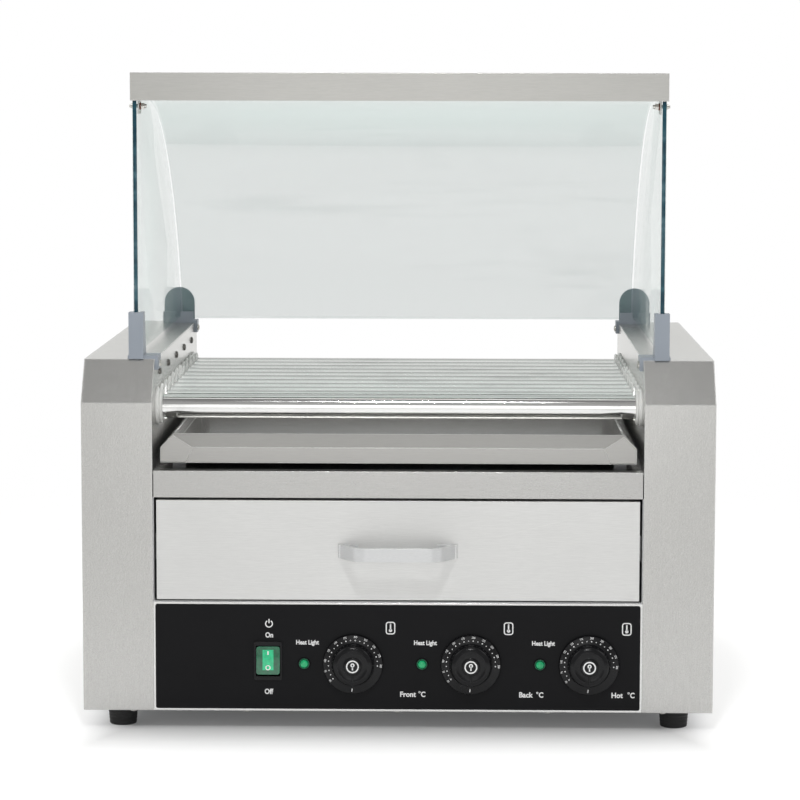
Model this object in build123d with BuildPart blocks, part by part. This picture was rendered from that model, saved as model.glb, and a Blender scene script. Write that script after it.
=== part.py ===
import os
from math import asin, degrees, floor, hypot, pi, radians, sin, tan

from build123d import *

os.makedirs("parts", exist_ok=True)

# Casings, all in millimetres
overall_width = 580.0
case_width = 65.0
foot_height = 17.0
chamfer_depth = 30.0
chamfer_height = 38.0
sheet = 1.0  # covers, pan and folded panels
frame_sheet = 1.2  # inner walls and brackets that carry load

# Stack of the front, from the control panel up
panel_height = 101.5
overlay = 0.6
overlay_margin = 2.0
row_gap = 2.5  # above and below the drawer front
drawer_height = 92.0
rail_height = 24.5
tray_lift = 5.5
tray_wall = 14.5
tray_lip = 11.5
roller_above_tray = 23.5
wall_above_roller = 45.0

# Rollers and their drive
roller_count = 11
roller_diameter = 22.0
roller_wall = 1.2
roller_pitch = 36.7
front_roller_setback = 46.0
rear_roller_margin = 57.0
running_clearance = 0.05
seal_clearance = 0.1
seal_gap = 2.2
seal_reach = 6.0
seal_flange = 2.4
bearing_wall = 3.0
bearing_length = 8.0
chain_pitch = 8.0
chain_roller_radius = 2.56
tooth_height = 1.55
sprocket_spacing = 1.0  # least gap between neighbouring sprockets
sprocket_width = 2.8
sprocket_line = 33.5  # from the inner wall face to the sprockets
chain_clearance = 0.4
chain_height = 5.0
chain_width = 6.0
drive_height = 113.0  # motor axis above the pan
motor_diameter = 64.0
motor_length = 22.0
motor_shaft = 7.0
motor_ear = 14.0

# Roller heaters and the bars that hold them
heater_rod = 8.0
heater_collar = 12.0
heater_bar_left = 27.0  # from the inner wall face
heater_bar_right = 45.0
heater_bar_gap = 4.0  # to the sheet of the casing top
heater_bar_flange = 8.0  # below the screw line
heater_bar_margin = 18.0  # beyond the first and last roller
tube_gap = 4.0  # tube end to heater bar
wall_screw_drop = 15.0
wall_screw_first = 72.0
wall_screw_pitch = 83.0
wall_screw_count = 5

# Drawer
drawer_side_gap = 3.5
drawer_front_depth = 15.0
drawer_box_length = 400.0
slide_space = 20.0  # between the drawer box and the inner wall
slide_height = 24.0
slide_setback = 20.0
slide_clearance = 0.4
box_floor_lift = 13.0
box_top_drop = 8.0
bay_length = 430.0
heating_rod = 6.5
element_half = 130.0
element_lead = 50.0
element_length = 340.0
element_bend = 40.0
handle_length = 111.0
handle_height = 13.0
handle_reach = 26.0
handle_strip = 3.0
handle_lean = 18.0
handle_bend = 14.0
handle_above_bottom = 39.0
handle_pad = 15.0

# Drip tray and what it lies on
tray_side_gap = 6.0
tray_setback = 15.0
tray_rear_gap = 12.0
rear_panel_setback = 15.0  # from the rear plane of the casings
rear_panel_drop = 50.0
tray_clearance = 0.3
tray_rail_width = 12.0
tray_rail_lead = 60.0  # behind the tray's front
ear_width = 30.0
ear_slant = 6.0

# Controls
knob_first = -41.0
knob_pitch = 108.5
knob_height = 44.5  # control row above the panel's lower edge
knob_names = ("knob_front", "knob_back", "knob_hot")
knob_skirt = 56.0
knob_body = 39.0
knob_boss = 16.0
knob_skirt_thickness = 3.0
knob_body_height = 10.0
knob_gap = 0.8
dial_shaft = 6.0
dial_bush = 10.0
thermostat_size = (38.0, 34.0, 44.0)
light_offset = -45.0  # from its knob
light_flange = 12.0
light_barrel = 9.0
light_lens = 7.0
switch_x = -119.2
switch_lift = 47.0
bezel_width = 26.0
bezel_height = 36.0
rocker_width = 21.5
rocker_height = 25.7
rocker_crown = 3.5  # middle of the rocker face ahead of its pivot
rocker_tilt = 7.0
rocker_clearance = 0.4
rocker_pivot_depth = 2.0

# Hood
hood_height = 262.6  # from the casing top to the top of the cover
hood_setback = 30.0
hood_overhang = 19.5  # outer face of the side glass beyond the inner wall
glass = 5.0
cover_height = 25.6
cover_depth = 80.0
cover_side_gap = 0.5
glass_side_gap = 0.3
glass_lift = 6.0
glass_rear_margin = 13.0
curve_start = 61.5  # flat top of the glass behind the hood front
curved_glass_start = 15.0
glass_front_gap = 0.5
tab_width = 20.0
tab_drop = 12.0
bolt_drop = 5.0
bolt_setback = 14.0  # behind the hood front
bolt_diameter = 3.5
post_width = 13.6
post_height = 43.0
foot_plate = 3.0
hook_drop = 10.0
bracket_inner = 3.0  # hook thickness
bracket_length = 28.0
dome_width = 32.0
dome_height = 37.0
dome_gap = 1.0
lip_height = 9.0
lip_gap = 4.5
plate_margin = 1.2
rear_hook_margin = 8.0

# Feet and fasteners
foot_top = 28.0
foot_bottom = 25.0
foot_inset = 34.0
foot_setback = 24.0
small_screw = 3.5
screw_head = 7.0
screw_head_height = 2.2
base_screw_pitch = 139.0
base_screw_setback = 6.0
outer_screw_inset = 19.5  # from the inner wall face

# Places worked out from the sizes above
inner_x = overall_width / 2 - case_width
case_depth = front_roller_setback + roller_pitch * (roller_count - 1) + rear_roller_margin
front_y = handle_reach - (case_depth + handle_reach) / 2
rear_y = front_y + case_depth
pan_top = foot_height + sheet
panel_top = foot_height + panel_height
drawer_bottom = panel_top + row_gap
drawer_top = drawer_bottom + drawer_height
rail_bottom = drawer_top + row_gap
rail_top = rail_bottom + rail_height
tray_bottom = rail_top + tray_lift
tray_rim = tray_bottom + tray_wall
roller_z = tray_rim + tray_lip + roller_above_tray
case_top = roller_z + wall_above_roller
panel_back = overlay + sheet
rear_panel_y = rear_y - rear_panel_setback
roller_ys = [front_y + front_roller_setback + roller_pitch * place for place in range(roller_count)]
roller_spots = [(roller_y, roller_z) for roller_y in roller_ys]
bearing_diameter = roller_diameter + 2 * bearing_wall
seal_diameter = roller_pitch - seal_gap
sprocket_room = roller_pitch - sprocket_spacing - 2 * tooth_height
sprocket_teeth = floor(pi / asin(chain_pitch / sprocket_room))
sprocket_pitch_radius = chain_pitch / sin(pi / sprocket_teeth) / 2
sprocket_tip_radius = sprocket_pitch_radius + tooth_height
sprocket_x = inner_x + sprocket_line
chain_inner = sprocket_tip_radius + chain_clearance
chain_outer = chain_inner + chain_height
drive_spot = ((roller_ys[0] + roller_ys[-1]) / 2, pan_top + drive_height)
control_z = foot_height + knob_height
knob_xs = [knob_first + knob_pitch * place for place in range(len(knob_names))]
slide_bottom = drawer_bottom + (drawer_height - slide_height) / 2
sides = (("left", -1), ("right", 1))


def behind(setback):
    # y of a plane that lies this far behind the front of the casings
    return front_y + setback


def save(solid, name):
    solid.label = name
    export_step(solid, f"parts/{name}.step")


def add_pan_screws(plane, spots, length):
    # heads stand on the plane, and the shanks go the other way
    with BuildSketch(plane) as heads:
        with Locations(*spots):
            Circle(screw_head / 2)
    extrude(heads.sketch, amount=screw_head_height, taper=15)
    with BuildSketch(plane) as shanks:
        with Locations(*spots):
            Circle(small_screw / 2)
    extrude(shanks.sketch, amount=-length)
    with BuildSketch(plane.offset(screw_head_height / 2)) as recesses:
        with Locations(*spots):
            Rectangle(screw_head * 0.55, screw_head / 8)
            Rectangle(screw_head / 8, screw_head * 0.55)
    extrude(recesses.sketch, amount=screw_head_height, mode=Mode.SUBTRACT)


def cut_holes(plane, spots, diameter, depth):
    # round holes from the plane, both ways
    with BuildSketch(plane) as holes:
        with Locations(*spots):
            Circle(diameter / 2)
    extrude(holes.sketch, amount=depth, both=True, mode=Mode.SUBTRACT)


# Side outline of a casing, chamfered at the top of the front
case_outline = (
    (front_y, foot_height),
    (front_y, case_top - chamfer_height),
    (front_y + chamfer_depth, case_top),
    (rear_y, case_top),
    (rear_y, foot_height),
)


# Side covers: folded sheet, open below and towards the rollers
for side_name, side in sides:
    with BuildPart() as side_cover:
        with BuildSketch(Plane.YZ.offset(side * inner_x)):
            Polygon(*case_outline, align=None)
        extrude(amount=side * case_width)
        inner_face = side_cover.faces().sort_by(Axis.X)[0 if side > 0 else -1]
        bottom_face = side_cover.faces().sort_by(Axis.Z)[0]
        offset(amount=-sheet, openings=[inner_face, bottom_face])
    save(side_cover.part, f"{side_name}_side_cover")

# Screw places on the inner walls
wall_screw_z = case_top - wall_screw_drop
wall_screw_spots = [
    (behind(wall_screw_first + wall_screw_pitch * place), wall_screw_z)
    for place in range(wall_screw_count)
    if wall_screw_first + wall_screw_pitch * place < case_depth - rear_panel_setback
]
hook_setbacks = (hood_setback + bracket_length / 2, case_depth - rear_panel_setback - rear_hook_margin)
hook_screw_spots = [(behind(setback), case_top - hook_drop / 2) for setback in hook_setbacks]

# Inner walls that carry the roller bearings
for side_name, side in sides:
    wall_plane = Plane.YZ.offset(side * inner_x)
    with BuildPart() as side_frame:
        with BuildSketch(wall_plane):
            Polygon(*case_outline, align=None)
            offset(amount=-sheet, mode=Mode.REPLACE)
        extrude(amount=side * frame_sheet)
        cut_holes(wall_plane, roller_spots, bearing_diameter, frame_sheet * 2)
        cut_holes(wall_plane, hook_screw_spots, small_screw, frame_sheet * 2)
        if side < 0:
            cut_holes(wall_plane, wall_screw_spots, small_screw, frame_sheet * 2)
    save(side_frame.part, f"{side_name}_side_frame")

# Base pan with cooling slots
pan_slot_length = 44.0
pan_slot_width = 5.0
pan_slot_columns = 5
pan_slot_rows = 9
foot_spots = [
    (side * (overall_width / 2 - foot_inset), y)
    for side_name, side in sides
    for y in (behind(foot_setback), rear_y - foot_setback)
]
base_screw_y = behind(base_screw_setback)
base_screw_spots = [(base_screw_pitch * place, base_screw_y) for place in (-1, 0, 1)]
base_screw_spots += [(side * (inner_x + outer_screw_inset), base_screw_y) for side_name, side in sides]
pan_front = behind(panel_back)
pan_rear = rear_y - sheet
with BuildPart() as base_pan:
    with BuildSketch(Plane.XY.offset(foot_height)):
        with Locations((0, (pan_front + pan_rear) / 2)):
            Rectangle(overall_width - 2 * sheet, pan_rear - pan_front)
        with GridLocations(60, 14, pan_slot_columns, pan_slot_rows):
            SlotOverall(pan_slot_length, pan_slot_width, mode=Mode.SUBTRACT)
    extrude(amount=sheet)
    cut_holes(Plane.XY.offset(foot_height), foot_spots + base_screw_spots, small_screw, sheet * 2)
save(base_pan.part, "base_pan")

# Rear panel with louvre slots and the hole for the gland
gland_inset = 60.0
gland_rise = 45.0
gland_thread = 16.0
gland_spot = (inner_x - gland_inset, foot_height + gland_rise)
louvre_length = 52.0
louvre_width = 4.0
louvre_columns = 5
louvre_rows = 7
with BuildPart() as rear_panel:
    with BuildSketch(Plane.XZ.offset(-rear_panel_y)):
        with Locations((0, pan_top)):
            Rectangle(
                2 * inner_x,
                case_top - rear_panel_drop - pan_top,
                align=(Align.CENTER, Align.MIN),
            )
        with Locations((0, panel_top)):
            with GridLocations(70, 12, louvre_columns, louvre_rows):
                SlotOverall(louvre_length, louvre_width, mode=Mode.SUBTRACT)
        with Locations(gland_spot):
            Circle(gland_thread / 2, mode=Mode.SUBTRACT)
    extrude(amount=-sheet)
save(rear_panel.part, "rear_panel")

# Cable gland: a flanged body with its nut on the inside
gland_flange = 24.0
gland_flange_depth = 5.0
gland_reach = 12.0
gland_collar_wall = 1.0
gland_bore = 8.0
with BuildPart() as gland_body:
    gland_plane = Plane.XZ.offset(-(rear_panel_y + sheet))
    with BuildSketch(gland_plane):
        with Locations(gland_spot):
            Circle(gland_thread / 2)
    extrude(amount=gland_reach - 2, both=True)
    with BuildSketch(gland_plane):
        with Locations(gland_spot):
            RegularPolygon(gland_flange / 2, 6)
    extrude(amount=-gland_flange_depth)
    with BuildSketch(gland_plane.offset(-gland_flange_depth)):
        with Locations(gland_spot):
            Circle(gland_thread / 2 + gland_collar_wall)
    extrude(amount=-(gland_reach - gland_flange_depth), taper=8)
    cut_holes(gland_plane, [gland_spot], gland_bore, 2 * gland_reach)
with BuildPart() as gland_nut:
    with BuildSketch(Plane.XZ.offset(-rear_panel_y)):
        with Locations(gland_spot):
            RegularPolygon(gland_flange / 2, 6)
            Circle(gland_thread / 2, mode=Mode.SUBTRACT)
    extrude(amount=gland_flange_depth)
save(Compound(children=[gland_body.part, gland_nut.part]), "cable_gland")

# Terminal block on the pan, in front of the gland
terminal_length = 66.0
terminal_depth = 24.0
terminal_base = 12.0
terminal_rise = 7.0
terminal_setback = 60.0  # from the rear panel
terminal_ways = 6
terminal_pitch = 11.0
terminal_spot = (gland_spot[0], rear_panel_y - terminal_setback)
with BuildPart() as terminal_block:
    with BuildSketch(Plane.XY.offset(pan_top)):
        with Locations(terminal_spot):
            Rectangle(terminal_length, terminal_depth)
    extrude(amount=terminal_base)
    with BuildSketch(Plane.XY.offset(pan_top + terminal_base)):
        with Locations(terminal_spot):
            with GridLocations(terminal_pitch, 0, terminal_ways, 1):
                Rectangle(terminal_pitch - 3, terminal_depth - 10)
    extrude(amount=terminal_rise)
save(terminal_block.part, "terminal_block")

# Front rail, a channel open to the rear
rail_half = inner_x - sheet
with BuildPart() as front_rail:
    with BuildSketch(Plane.YZ.offset(-rail_half)):
        with Locations((front_y, rail_bottom)):
            Rectangle(drawer_front_depth, rail_height, align=(Align.MIN, Align.MIN))
        with Locations((front_y + sheet, rail_bottom + sheet)):
            Rectangle(
                drawer_front_depth,
                rail_height - 2 * sheet,
                align=(Align.MIN, Align.MIN),
                mode=Mode.SUBTRACT,
            )
    extrude(amount=2 * rail_half)
save(front_rail.part, "front_rail")

# Shelf under the drip tray, and the two folded strips that the tray slides on
shelf_top = rail_top - sheet
shelf_length = rear_panel_y - behind(sheet)
with BuildPart() as tray_shelf:
    with BuildSketch(Plane.XY.offset(shelf_top - sheet)):
        with Locations((0, behind(sheet) + shelf_length / 2)):
            Rectangle(2 * inner_x, shelf_length)
    extrude(amount=sheet)
save(tray_shelf.part, "tray_shelf")

tray_rail_start = behind(tray_setback + tray_rail_lead)
with BuildPart() as tray_rails:
    for side_name, side in sides:
        with BuildSketch(Plane.XY.offset(shelf_top)):
            with Locations((side * (inner_x - tray_side_gap - tray_rail_width), tray_rail_start)):
                Rectangle(
                    tray_rail_width,
                    rear_panel_y - tray_rail_start,
                    align=(Align.CENTER, Align.MIN),
                )
        extrude(amount=tray_bottom - tray_clearance - shelf_top)
save(tray_rails.part, "tray_rails")

# Control panel: face and two return flanges, then the thin overlay on its face
switch_z = foot_height + switch_lift
rocker_end = rocker_crown + rocker_height / 2 * tan(radians(rocker_tilt))
rocker_radius = hypot(rocker_height / 2, rocker_end)
cavity_width = rocker_width + 2 * rocker_clearance
cavity_height = 2 * (rocker_radius + rocker_clearance)
switch_wall = 1.3
cutout_width = cavity_width + 2 * switch_wall
cutout_height = cavity_height + 2 * switch_wall
flange_length = 15.0


def cut_panel_openings(plane):
    # openings for the dials, the heat lights and the switch
    with BuildSketch(plane) as openings:
        with Locations(*[(x, control_z) for x in knob_xs]):
            Circle(dial_bush / 2)
        with Locations(*[(x + light_offset, control_z) for x in knob_xs]):
            Circle(light_barrel / 2)
        with Locations((switch_x, switch_z)):
            Rectangle(cutout_width, cutout_height)
    extrude(openings.sketch, amount=sheet * 2, both=True, mode=Mode.SUBTRACT)


with BuildPart() as control_panel:
    with BuildSketch(Plane.YZ.offset(-inner_x)):
        with BuildLine():
            Polyline(
                (behind(overlay), foot_height),
                (behind(overlay), panel_top),
                (behind(panel_back + flange_length), panel_top),
                (behind(panel_back + flange_length), panel_top - sheet),
                (behind(panel_back), panel_top - sheet),
                (behind(panel_back), pan_top + sheet),
                (behind(panel_back + flange_length), pan_top + sheet),
                (behind(panel_back + flange_length), pan_top),
                (behind(panel_back), pan_top),
                (behind(panel_back), foot_height),
                close=True,
            )
        make_face()
    extrude(amount=2 * inner_x)
    cut_panel_openings(Plane.XZ.offset(-behind(overlay)))
    cut_holes(Plane.XY.offset(pan_top), base_screw_spots[:3], small_screw, sheet * 2)
save(control_panel.part, "control_panel")

with BuildPart() as panel_overlay:
    with BuildSketch(Plane.XZ.offset(-behind(overlay))):
        with Locations((0, foot_height + panel_height / 2)):
            RectangleRounded(
                2 * (inner_x - overlay_margin),
                panel_height - 2 * overlay_margin,
                overlay_margin,
            )
    extrude(amount=overlay)
    cut_panel_openings(Plane.XZ.offset(-front_y))
save(panel_overlay.part, "panel_overlay")

# Rocker switch: body with a cavity, then the rocker on its pivot pins
bezel_thickness = 1.8
switch_depth = 24.0
cavity_depth = 14.0
pin_diameter = 3.0
pin_reach = 0.8
rocker_pivot = (behind(rocker_pivot_depth), switch_z)
with BuildPart() as switch_body:
    with BuildSketch(Plane.XZ.offset(-front_y)):
        with Locations((switch_x, switch_z)):
            RectangleRounded(bezel_width, bezel_height, 1.5)
    extrude(amount=bezel_thickness)
    with BuildSketch(Plane.XZ.offset(-front_y)):
        with Locations((switch_x, switch_z)):
            Rectangle(cutout_width, cutout_height)
    extrude(amount=-switch_depth)
    with BuildSketch(Plane.XZ.offset(-front_y + bezel_thickness)):
        with Locations((switch_x, switch_z)):
            Rectangle(cavity_width, cavity_height)
    extrude(amount=-(bezel_thickness + cavity_depth), mode=Mode.SUBTRACT)
    with BuildSketch(Plane.YZ.offset(switch_x)):
        with Locations(rocker_pivot):
            Circle(pin_diameter / 2 + running_clearance)
    extrude(amount=cavity_width / 2 + 1.1, both=True, mode=Mode.SUBTRACT)
    with BuildSketch(Plane.XZ.offset(-behind(switch_depth))):
        with Locations((switch_x, switch_z)):
            with GridLocations(12, 14, 2, 2):
                Rectangle(6, 0.8)
    extrude(amount=-8)
save(switch_body.part, "switch_body")

with BuildPart() as power_rocker:
    with BuildSketch(Plane.YZ.offset(switch_x)):
        with Locations(rocker_pivot):
            Circle(rocker_radius)
            Polygon(
                (-rocker_crown, 0),
                (-rocker_crown - rocker_radius * tan(radians(rocker_tilt)), rocker_radius),
                (rocker_crown + pin_diameter, rocker_radius),
                (rocker_crown + pin_diameter, -rocker_radius),
                (-rocker_crown - rocker_radius * tan(radians(rocker_tilt)), -rocker_radius),
                rotation=-rocker_tilt,
                align=None,
                mode=Mode.INTERSECT,
            )
    extrude(amount=rocker_width / 2, both=True)
    with BuildSketch(Plane.YZ.offset(switch_x)):
        with Locations(rocker_pivot):
            Circle(pin_diameter / 2)
    extrude(amount=cavity_width / 2 + pin_reach, both=True)
save(power_rocker.part, "power_rocker")

# Heat lights: flanged barrels with domed lenses
light_spots = [(x + light_offset, control_z) for x in knob_xs]
light_flange_thickness = 1.5
lens_depth = 6.0
lens_crown = 2.0
with BuildPart() as pilot_light_bodies:
    with BuildSketch(Plane.XZ.offset(-front_y)):
        with Locations(*light_spots):
            Circle(light_flange / 2)
    extrude(amount=light_flange_thickness, taper=20)
    with BuildSketch(Plane.XZ.offset(-front_y)):
        with Locations(*light_spots):
            Circle(light_barrel / 2)
    extrude(amount=-22)
    with BuildSketch(Plane.XZ.offset(-front_y + light_flange_thickness)):
        with Locations(*light_spots):
            Circle(light_lens / 2)
    extrude(amount=-(light_flange_thickness + lens_depth), mode=Mode.SUBTRACT)
save(pilot_light_bodies.part, "pilot_light_bodies")

with BuildPart() as pilot_light_lenses:
    with BuildSketch(Plane.XZ.offset(-behind(lens_depth))):
        with Locations(*light_spots):
            Circle(light_lens / 2)
    extrude(amount=lens_depth + light_flange_thickness + lens_crown)
    dome_edges = pilot_light_lenses.edges().group_by(Axis.Y)[0]
    fillet(dome_edges, lens_crown)
save(pilot_light_lenses.part, "pilot_light_lenses")

# Thermostats behind the panel, each with a threaded bush through it
body_x, body_y, body_z = thermostat_size
bush_reach = 3.0
knob_back = behind(-knob_gap)
with BuildPart() as thermostats:
    with BuildSketch(Plane.XZ.offset(-behind(panel_back))):
        with Locations(*[(x, control_z) for x in knob_xs]):
            RectangleRounded(body_x, body_z, 3)
    extrude(amount=-body_y)
    with BuildSketch(Plane.XZ.offset(-behind(panel_back))):
        with Locations(*[(x, control_z) for x in knob_xs]):
            Circle(dial_bush / 2)
    extrude(amount=panel_back + bush_reach)
    cut_holes(
        Plane.XZ.offset(-front_y),
        [(x, control_z) for x in knob_xs],
        dial_shaft + 2 * running_clearance,
        body_y / 2,
    )
save(thermostats.part, "thermostats")

# Knobs: skirt, grip and boss on a shaft that turns in the thermostat's bush
knob_face = knob_gap + knob_skirt_thickness + knob_body_height
boss_rise = 0.8
shaft_depth = 12.0
shaft_recess = 3.0
for knob_name, knob_x in zip(knob_names, knob_xs):
    knob_spot = (knob_x, control_z)
    with BuildPart() as knob_cap:
        with BuildSketch(Plane.XZ.offset(-knob_back)):
            with Locations(knob_spot):
                Circle(knob_skirt / 2)
        extrude(amount=knob_skirt_thickness, taper=12)
        with BuildSketch(Plane.XZ.offset(-knob_back + knob_skirt_thickness)):
            with Locations(knob_spot):
                Circle(knob_body / 2)
        extrude(amount=knob_body_height, taper=3)
        fillet(knob_cap.edges().group_by(Axis.Y)[0], 1.2)
        with BuildSketch(Plane.XZ.offset(-behind(-knob_face))):
            with Locations(knob_spot):
                Circle(knob_boss / 2)
        extrude(amount=boss_rise)
        with BuildSketch(Plane.XZ.offset(-knob_back)):
            with Locations(knob_spot):
                Circle(dial_bush / 2 + 1)
        extrude(amount=bush_reach + 1, mode=Mode.SUBTRACT)
        with BuildSketch(Plane.XZ.offset(-knob_back)):
            with Locations(knob_spot):
                Circle(dial_shaft / 2)
        extrude(amount=knob_face - knob_gap - shaft_recess, mode=Mode.SUBTRACT)
    with BuildPart() as knob_shaft:
        with BuildSketch(Plane.XZ.offset(-behind(shaft_depth))):
            with Locations(knob_spot):
                Circle(dial_shaft / 2)
        extrude(amount=shaft_depth + knob_face - shaft_recess)
    save(Compound(children=[knob_cap.part, knob_shaft.part]), knob_name)

# Bearings in the inner walls, and the seals that cover them
bearing_flange = 2.0
with BuildPart() as roller_bearings:
    for side_name, side in sides:
        with BuildSketch(Plane.YZ.offset(side * inner_x)):
            with Locations(*roller_spots):
                Circle(bearing_diameter / 2)
        extrude(amount=side * bearing_length)
        with BuildSketch(Plane.YZ.offset(side * (inner_x + frame_sheet))):
            with Locations(*roller_spots):
                Circle(bearing_diameter / 2 + bearing_flange)
        extrude(amount=side * bearing_flange)
        bore = roller_diameter + 2 * running_clearance
        cut_holes(Plane.YZ.offset(side * inner_x), roller_spots, bore, bearing_length)
save(roller_bearings.part, "roller_bearings")

seal_neck = (bearing_diameter + seal_diameter) / 4
with BuildPart() as roller_seals:
    for side_name, side in sides:
        seal_steps = (
            (seal_diameter / 2, 0, seal_flange),
            (seal_neck, seal_flange, seal_reach - seal_flange),
            (seal_diameter / 2 - sheet, seal_reach - seal_flange, seal_reach),
        )
        for step_radius, step_start, step_end in seal_steps:
            with BuildSketch(Plane.YZ.offset(side * (inner_x - step_start))):
                with Locations(*roller_spots):
                    Circle(step_radius)
            extrude(amount=-side * (step_end - step_start))
        bore = roller_diameter + 2 * seal_clearance
        cut_holes(Plane.YZ.offset(side * inner_x), roller_spots, bore, seal_reach)
save(roller_seals.part, "roller_seals")

# Rollers, each a tube with its own sprocket
tube_left = -(inner_x + heater_bar_left - tube_gap)
tube_right = inner_x + heater_bar_right - tube_gap
tube_radius = roller_diameter / 2


def sprocket_face(spot, bore_radius):
    with Locations(spot):
        Circle(sprocket_tip_radius)
        with PolarLocations(sprocket_pitch_radius, sprocket_teeth):
            Circle(chain_roller_radius, mode=Mode.SUBTRACT)
        if bore_radius > 0:
            Circle(bore_radius, mode=Mode.SUBTRACT)


for number, roller_spot in enumerate(roller_spots, start=1):
    with BuildPart() as tube:
        with BuildSketch(Plane.YZ.offset(tube_left)):
            with Locations(roller_spot):
                Circle(tube_radius)
                Circle(tube_radius - roller_wall, mode=Mode.SUBTRACT)
        extrude(amount=tube_right - tube_left)
    with BuildPart() as sprocket:
        with BuildSketch(Plane.YZ.offset(sprocket_x - sprocket_width / 2)):
            sprocket_face(roller_spot, tube_radius)
        extrude(amount=sprocket_width)
    save(Compound(children=[tube.part, sprocket.part]), f"roller_{number:02d}")

# Gear motor on the right inner wall, its shaft and sprocket, and the chain round them all
motor_face = inner_x + frame_sheet
with BuildPart() as motor:
    with BuildSketch(Plane.YZ.offset(motor_face)):
        with Locations(drive_spot):
            Circle(motor_diameter / 2)
            with PolarLocations(motor_diameter / 2 + 3, 2, start_angle=0):
                Circle(motor_ear / 2)
    extrude(amount=3)
    with BuildSketch(Plane.YZ.offset(motor_face)):
        with Locations(drive_spot):
            Circle(motor_diameter / 2 - 2)
    extrude(amount=motor_length)
    with BuildSketch(Plane.YZ.offset(motor_face + motor_length)):
        with Locations(drive_spot):
            Circle(motor_shaft / 2 + 4)
    extrude(amount=2)
    cut_holes(
        Plane.YZ.offset(motor_face + motor_length + 2),
        [drive_spot],
        motor_shaft + 2 * running_clearance,
        14,
    )
save(motor.part, "motor")

shaft_start = motor_face + motor_length - 10
with BuildPart() as drive_sprocket:
    with BuildSketch(Plane.YZ.offset(shaft_start)):
        with Locations(drive_spot):
            Circle(motor_shaft / 2)
    extrude(amount=sprocket_x + 6 - shaft_start)
    with BuildSketch(Plane.YZ.offset(sprocket_x - sprocket_width / 2)):
        sprocket_face(drive_spot, 0)
    extrude(amount=sprocket_width)
    with BuildSketch(Plane.YZ.offset(sprocket_x)):
        with Locations(drive_spot):
            Circle(motor_shaft)
    extrude(amount=5)
save(drive_sprocket.part, "drive_sprocket")

with BuildPart() as chain:
    for loop_radius, loop_mode in ((chain_outer, Mode.ADD), (chain_inner, Mode.SUBTRACT)):
        with BuildSketch(Plane.YZ.offset(sprocket_x - chain_width / 2)):
            with Locations(roller_spots[0], roller_spots[-1], drive_spot):
                Circle(loop_radius)
            make_hull()
        extrude(amount=chain_width, mode=loop_mode)
save(chain.part, "chain")

# Heaters through the rollers, and the folded bars that stop them turning
collar_length = 8.0
with BuildPart() as roller_heaters:
    rod_left = -(inner_x + heater_bar_left + frame_sheet)
    rod_right = inner_x + heater_bar_right + frame_sheet
    with BuildSketch(Plane.YZ.offset(rod_left)):
        with Locations(*roller_spots):
            Circle(heater_rod / 2)
    extrude(amount=rod_right - rod_left)
    for rod_end, side in ((rod_left, -1), (rod_right, 1)):
        with BuildSketch(Plane.YZ.offset(rod_end)):
            with Locations(*roller_spots):
                Circle(heater_collar / 2)
        extrude(amount=side * collar_length)
save(roller_heaters.part, "roller_heaters")

bar_top = case_top - sheet - heater_bar_gap
bar_foot = wall_screw_z - heater_bar_flange
bar_bottom = roller_z - tube_radius
bar_start = roller_ys[0] - heater_bar_margin
bar_length = roller_ys[-1] + heater_bar_margin - bar_start
with BuildPart() as heater_bars:
    for side, bar_reach in ((-1, heater_bar_left), (1, heater_bar_right)):
        with BuildSketch(Plane.XZ.offset(-bar_start)):
            with BuildLine():
                Polyline(
                    (side * (inner_x + frame_sheet), bar_foot),
                    (side * (inner_x + frame_sheet), bar_top),
                    (side * (inner_x + bar_reach + frame_sheet), bar_top),
                    (side * (inner_x + bar_reach + frame_sheet), bar_bottom),
                    (side * (inner_x + bar_reach), bar_bottom),
                    (side * (inner_x + bar_reach), bar_top - frame_sheet),
                    (side * (inner_x + 2 * frame_sheet), bar_top - frame_sheet),
                    (side * (inner_x + 2 * frame_sheet), bar_foot),
                    close=True,
                )
            make_face()
        extrude(amount=-bar_length)
        bar_plane = Plane.YZ.offset(side * (inner_x + bar_reach))
        cut_holes(bar_plane, roller_spots, heater_rod, frame_sheet * 2)
    cut_holes(Plane.YZ.offset(-inner_x), wall_screw_spots, small_screw, frame_sheet * 3)
    cut_holes(Plane.YZ.offset(-inner_x), hook_screw_spots, 2 * screw_head, frame_sheet * 3)
    cut_holes(Plane.YZ.offset(inner_x), hook_screw_spots, 2 * screw_head, frame_sheet * 3)
save(heater_bars.part, "heater_bars")

with BuildPart() as wall_screws:
    add_pan_screws(Plane.YZ.offset(-inner_x), wall_screw_spots, 6)
save(wall_screws.part, "wall_screws")

# Drawer: folded front, box behind it, runners on its sides, strip handle with its screws
front_half = inner_x - drawer_side_gap
with BuildPart() as drawer_front:
    with BuildSketch(Plane.XZ.offset(-front_y)):
        with Locations((0, drawer_bottom + drawer_height / 2)):
            Rectangle(2 * front_half, drawer_height)
    extrude(amount=-drawer_front_depth)
    offset(amount=-sheet, openings=drawer_front.faces().sort_by(Axis.Y)[-1])
handle_z = drawer_bottom + handle_above_bottom + handle_height / 2
handle_screw_x = handle_length / 2 - handle_strip - handle_pad / 2
handle_screw_spots = [(side * handle_screw_x, handle_z) for side_name, side in sides]
with drawer_front:
    cut_holes(Plane.XZ.offset(-front_y), handle_screw_spots, small_screw, sheet * 2)
save(drawer_front.part, "drawer_front")

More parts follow.
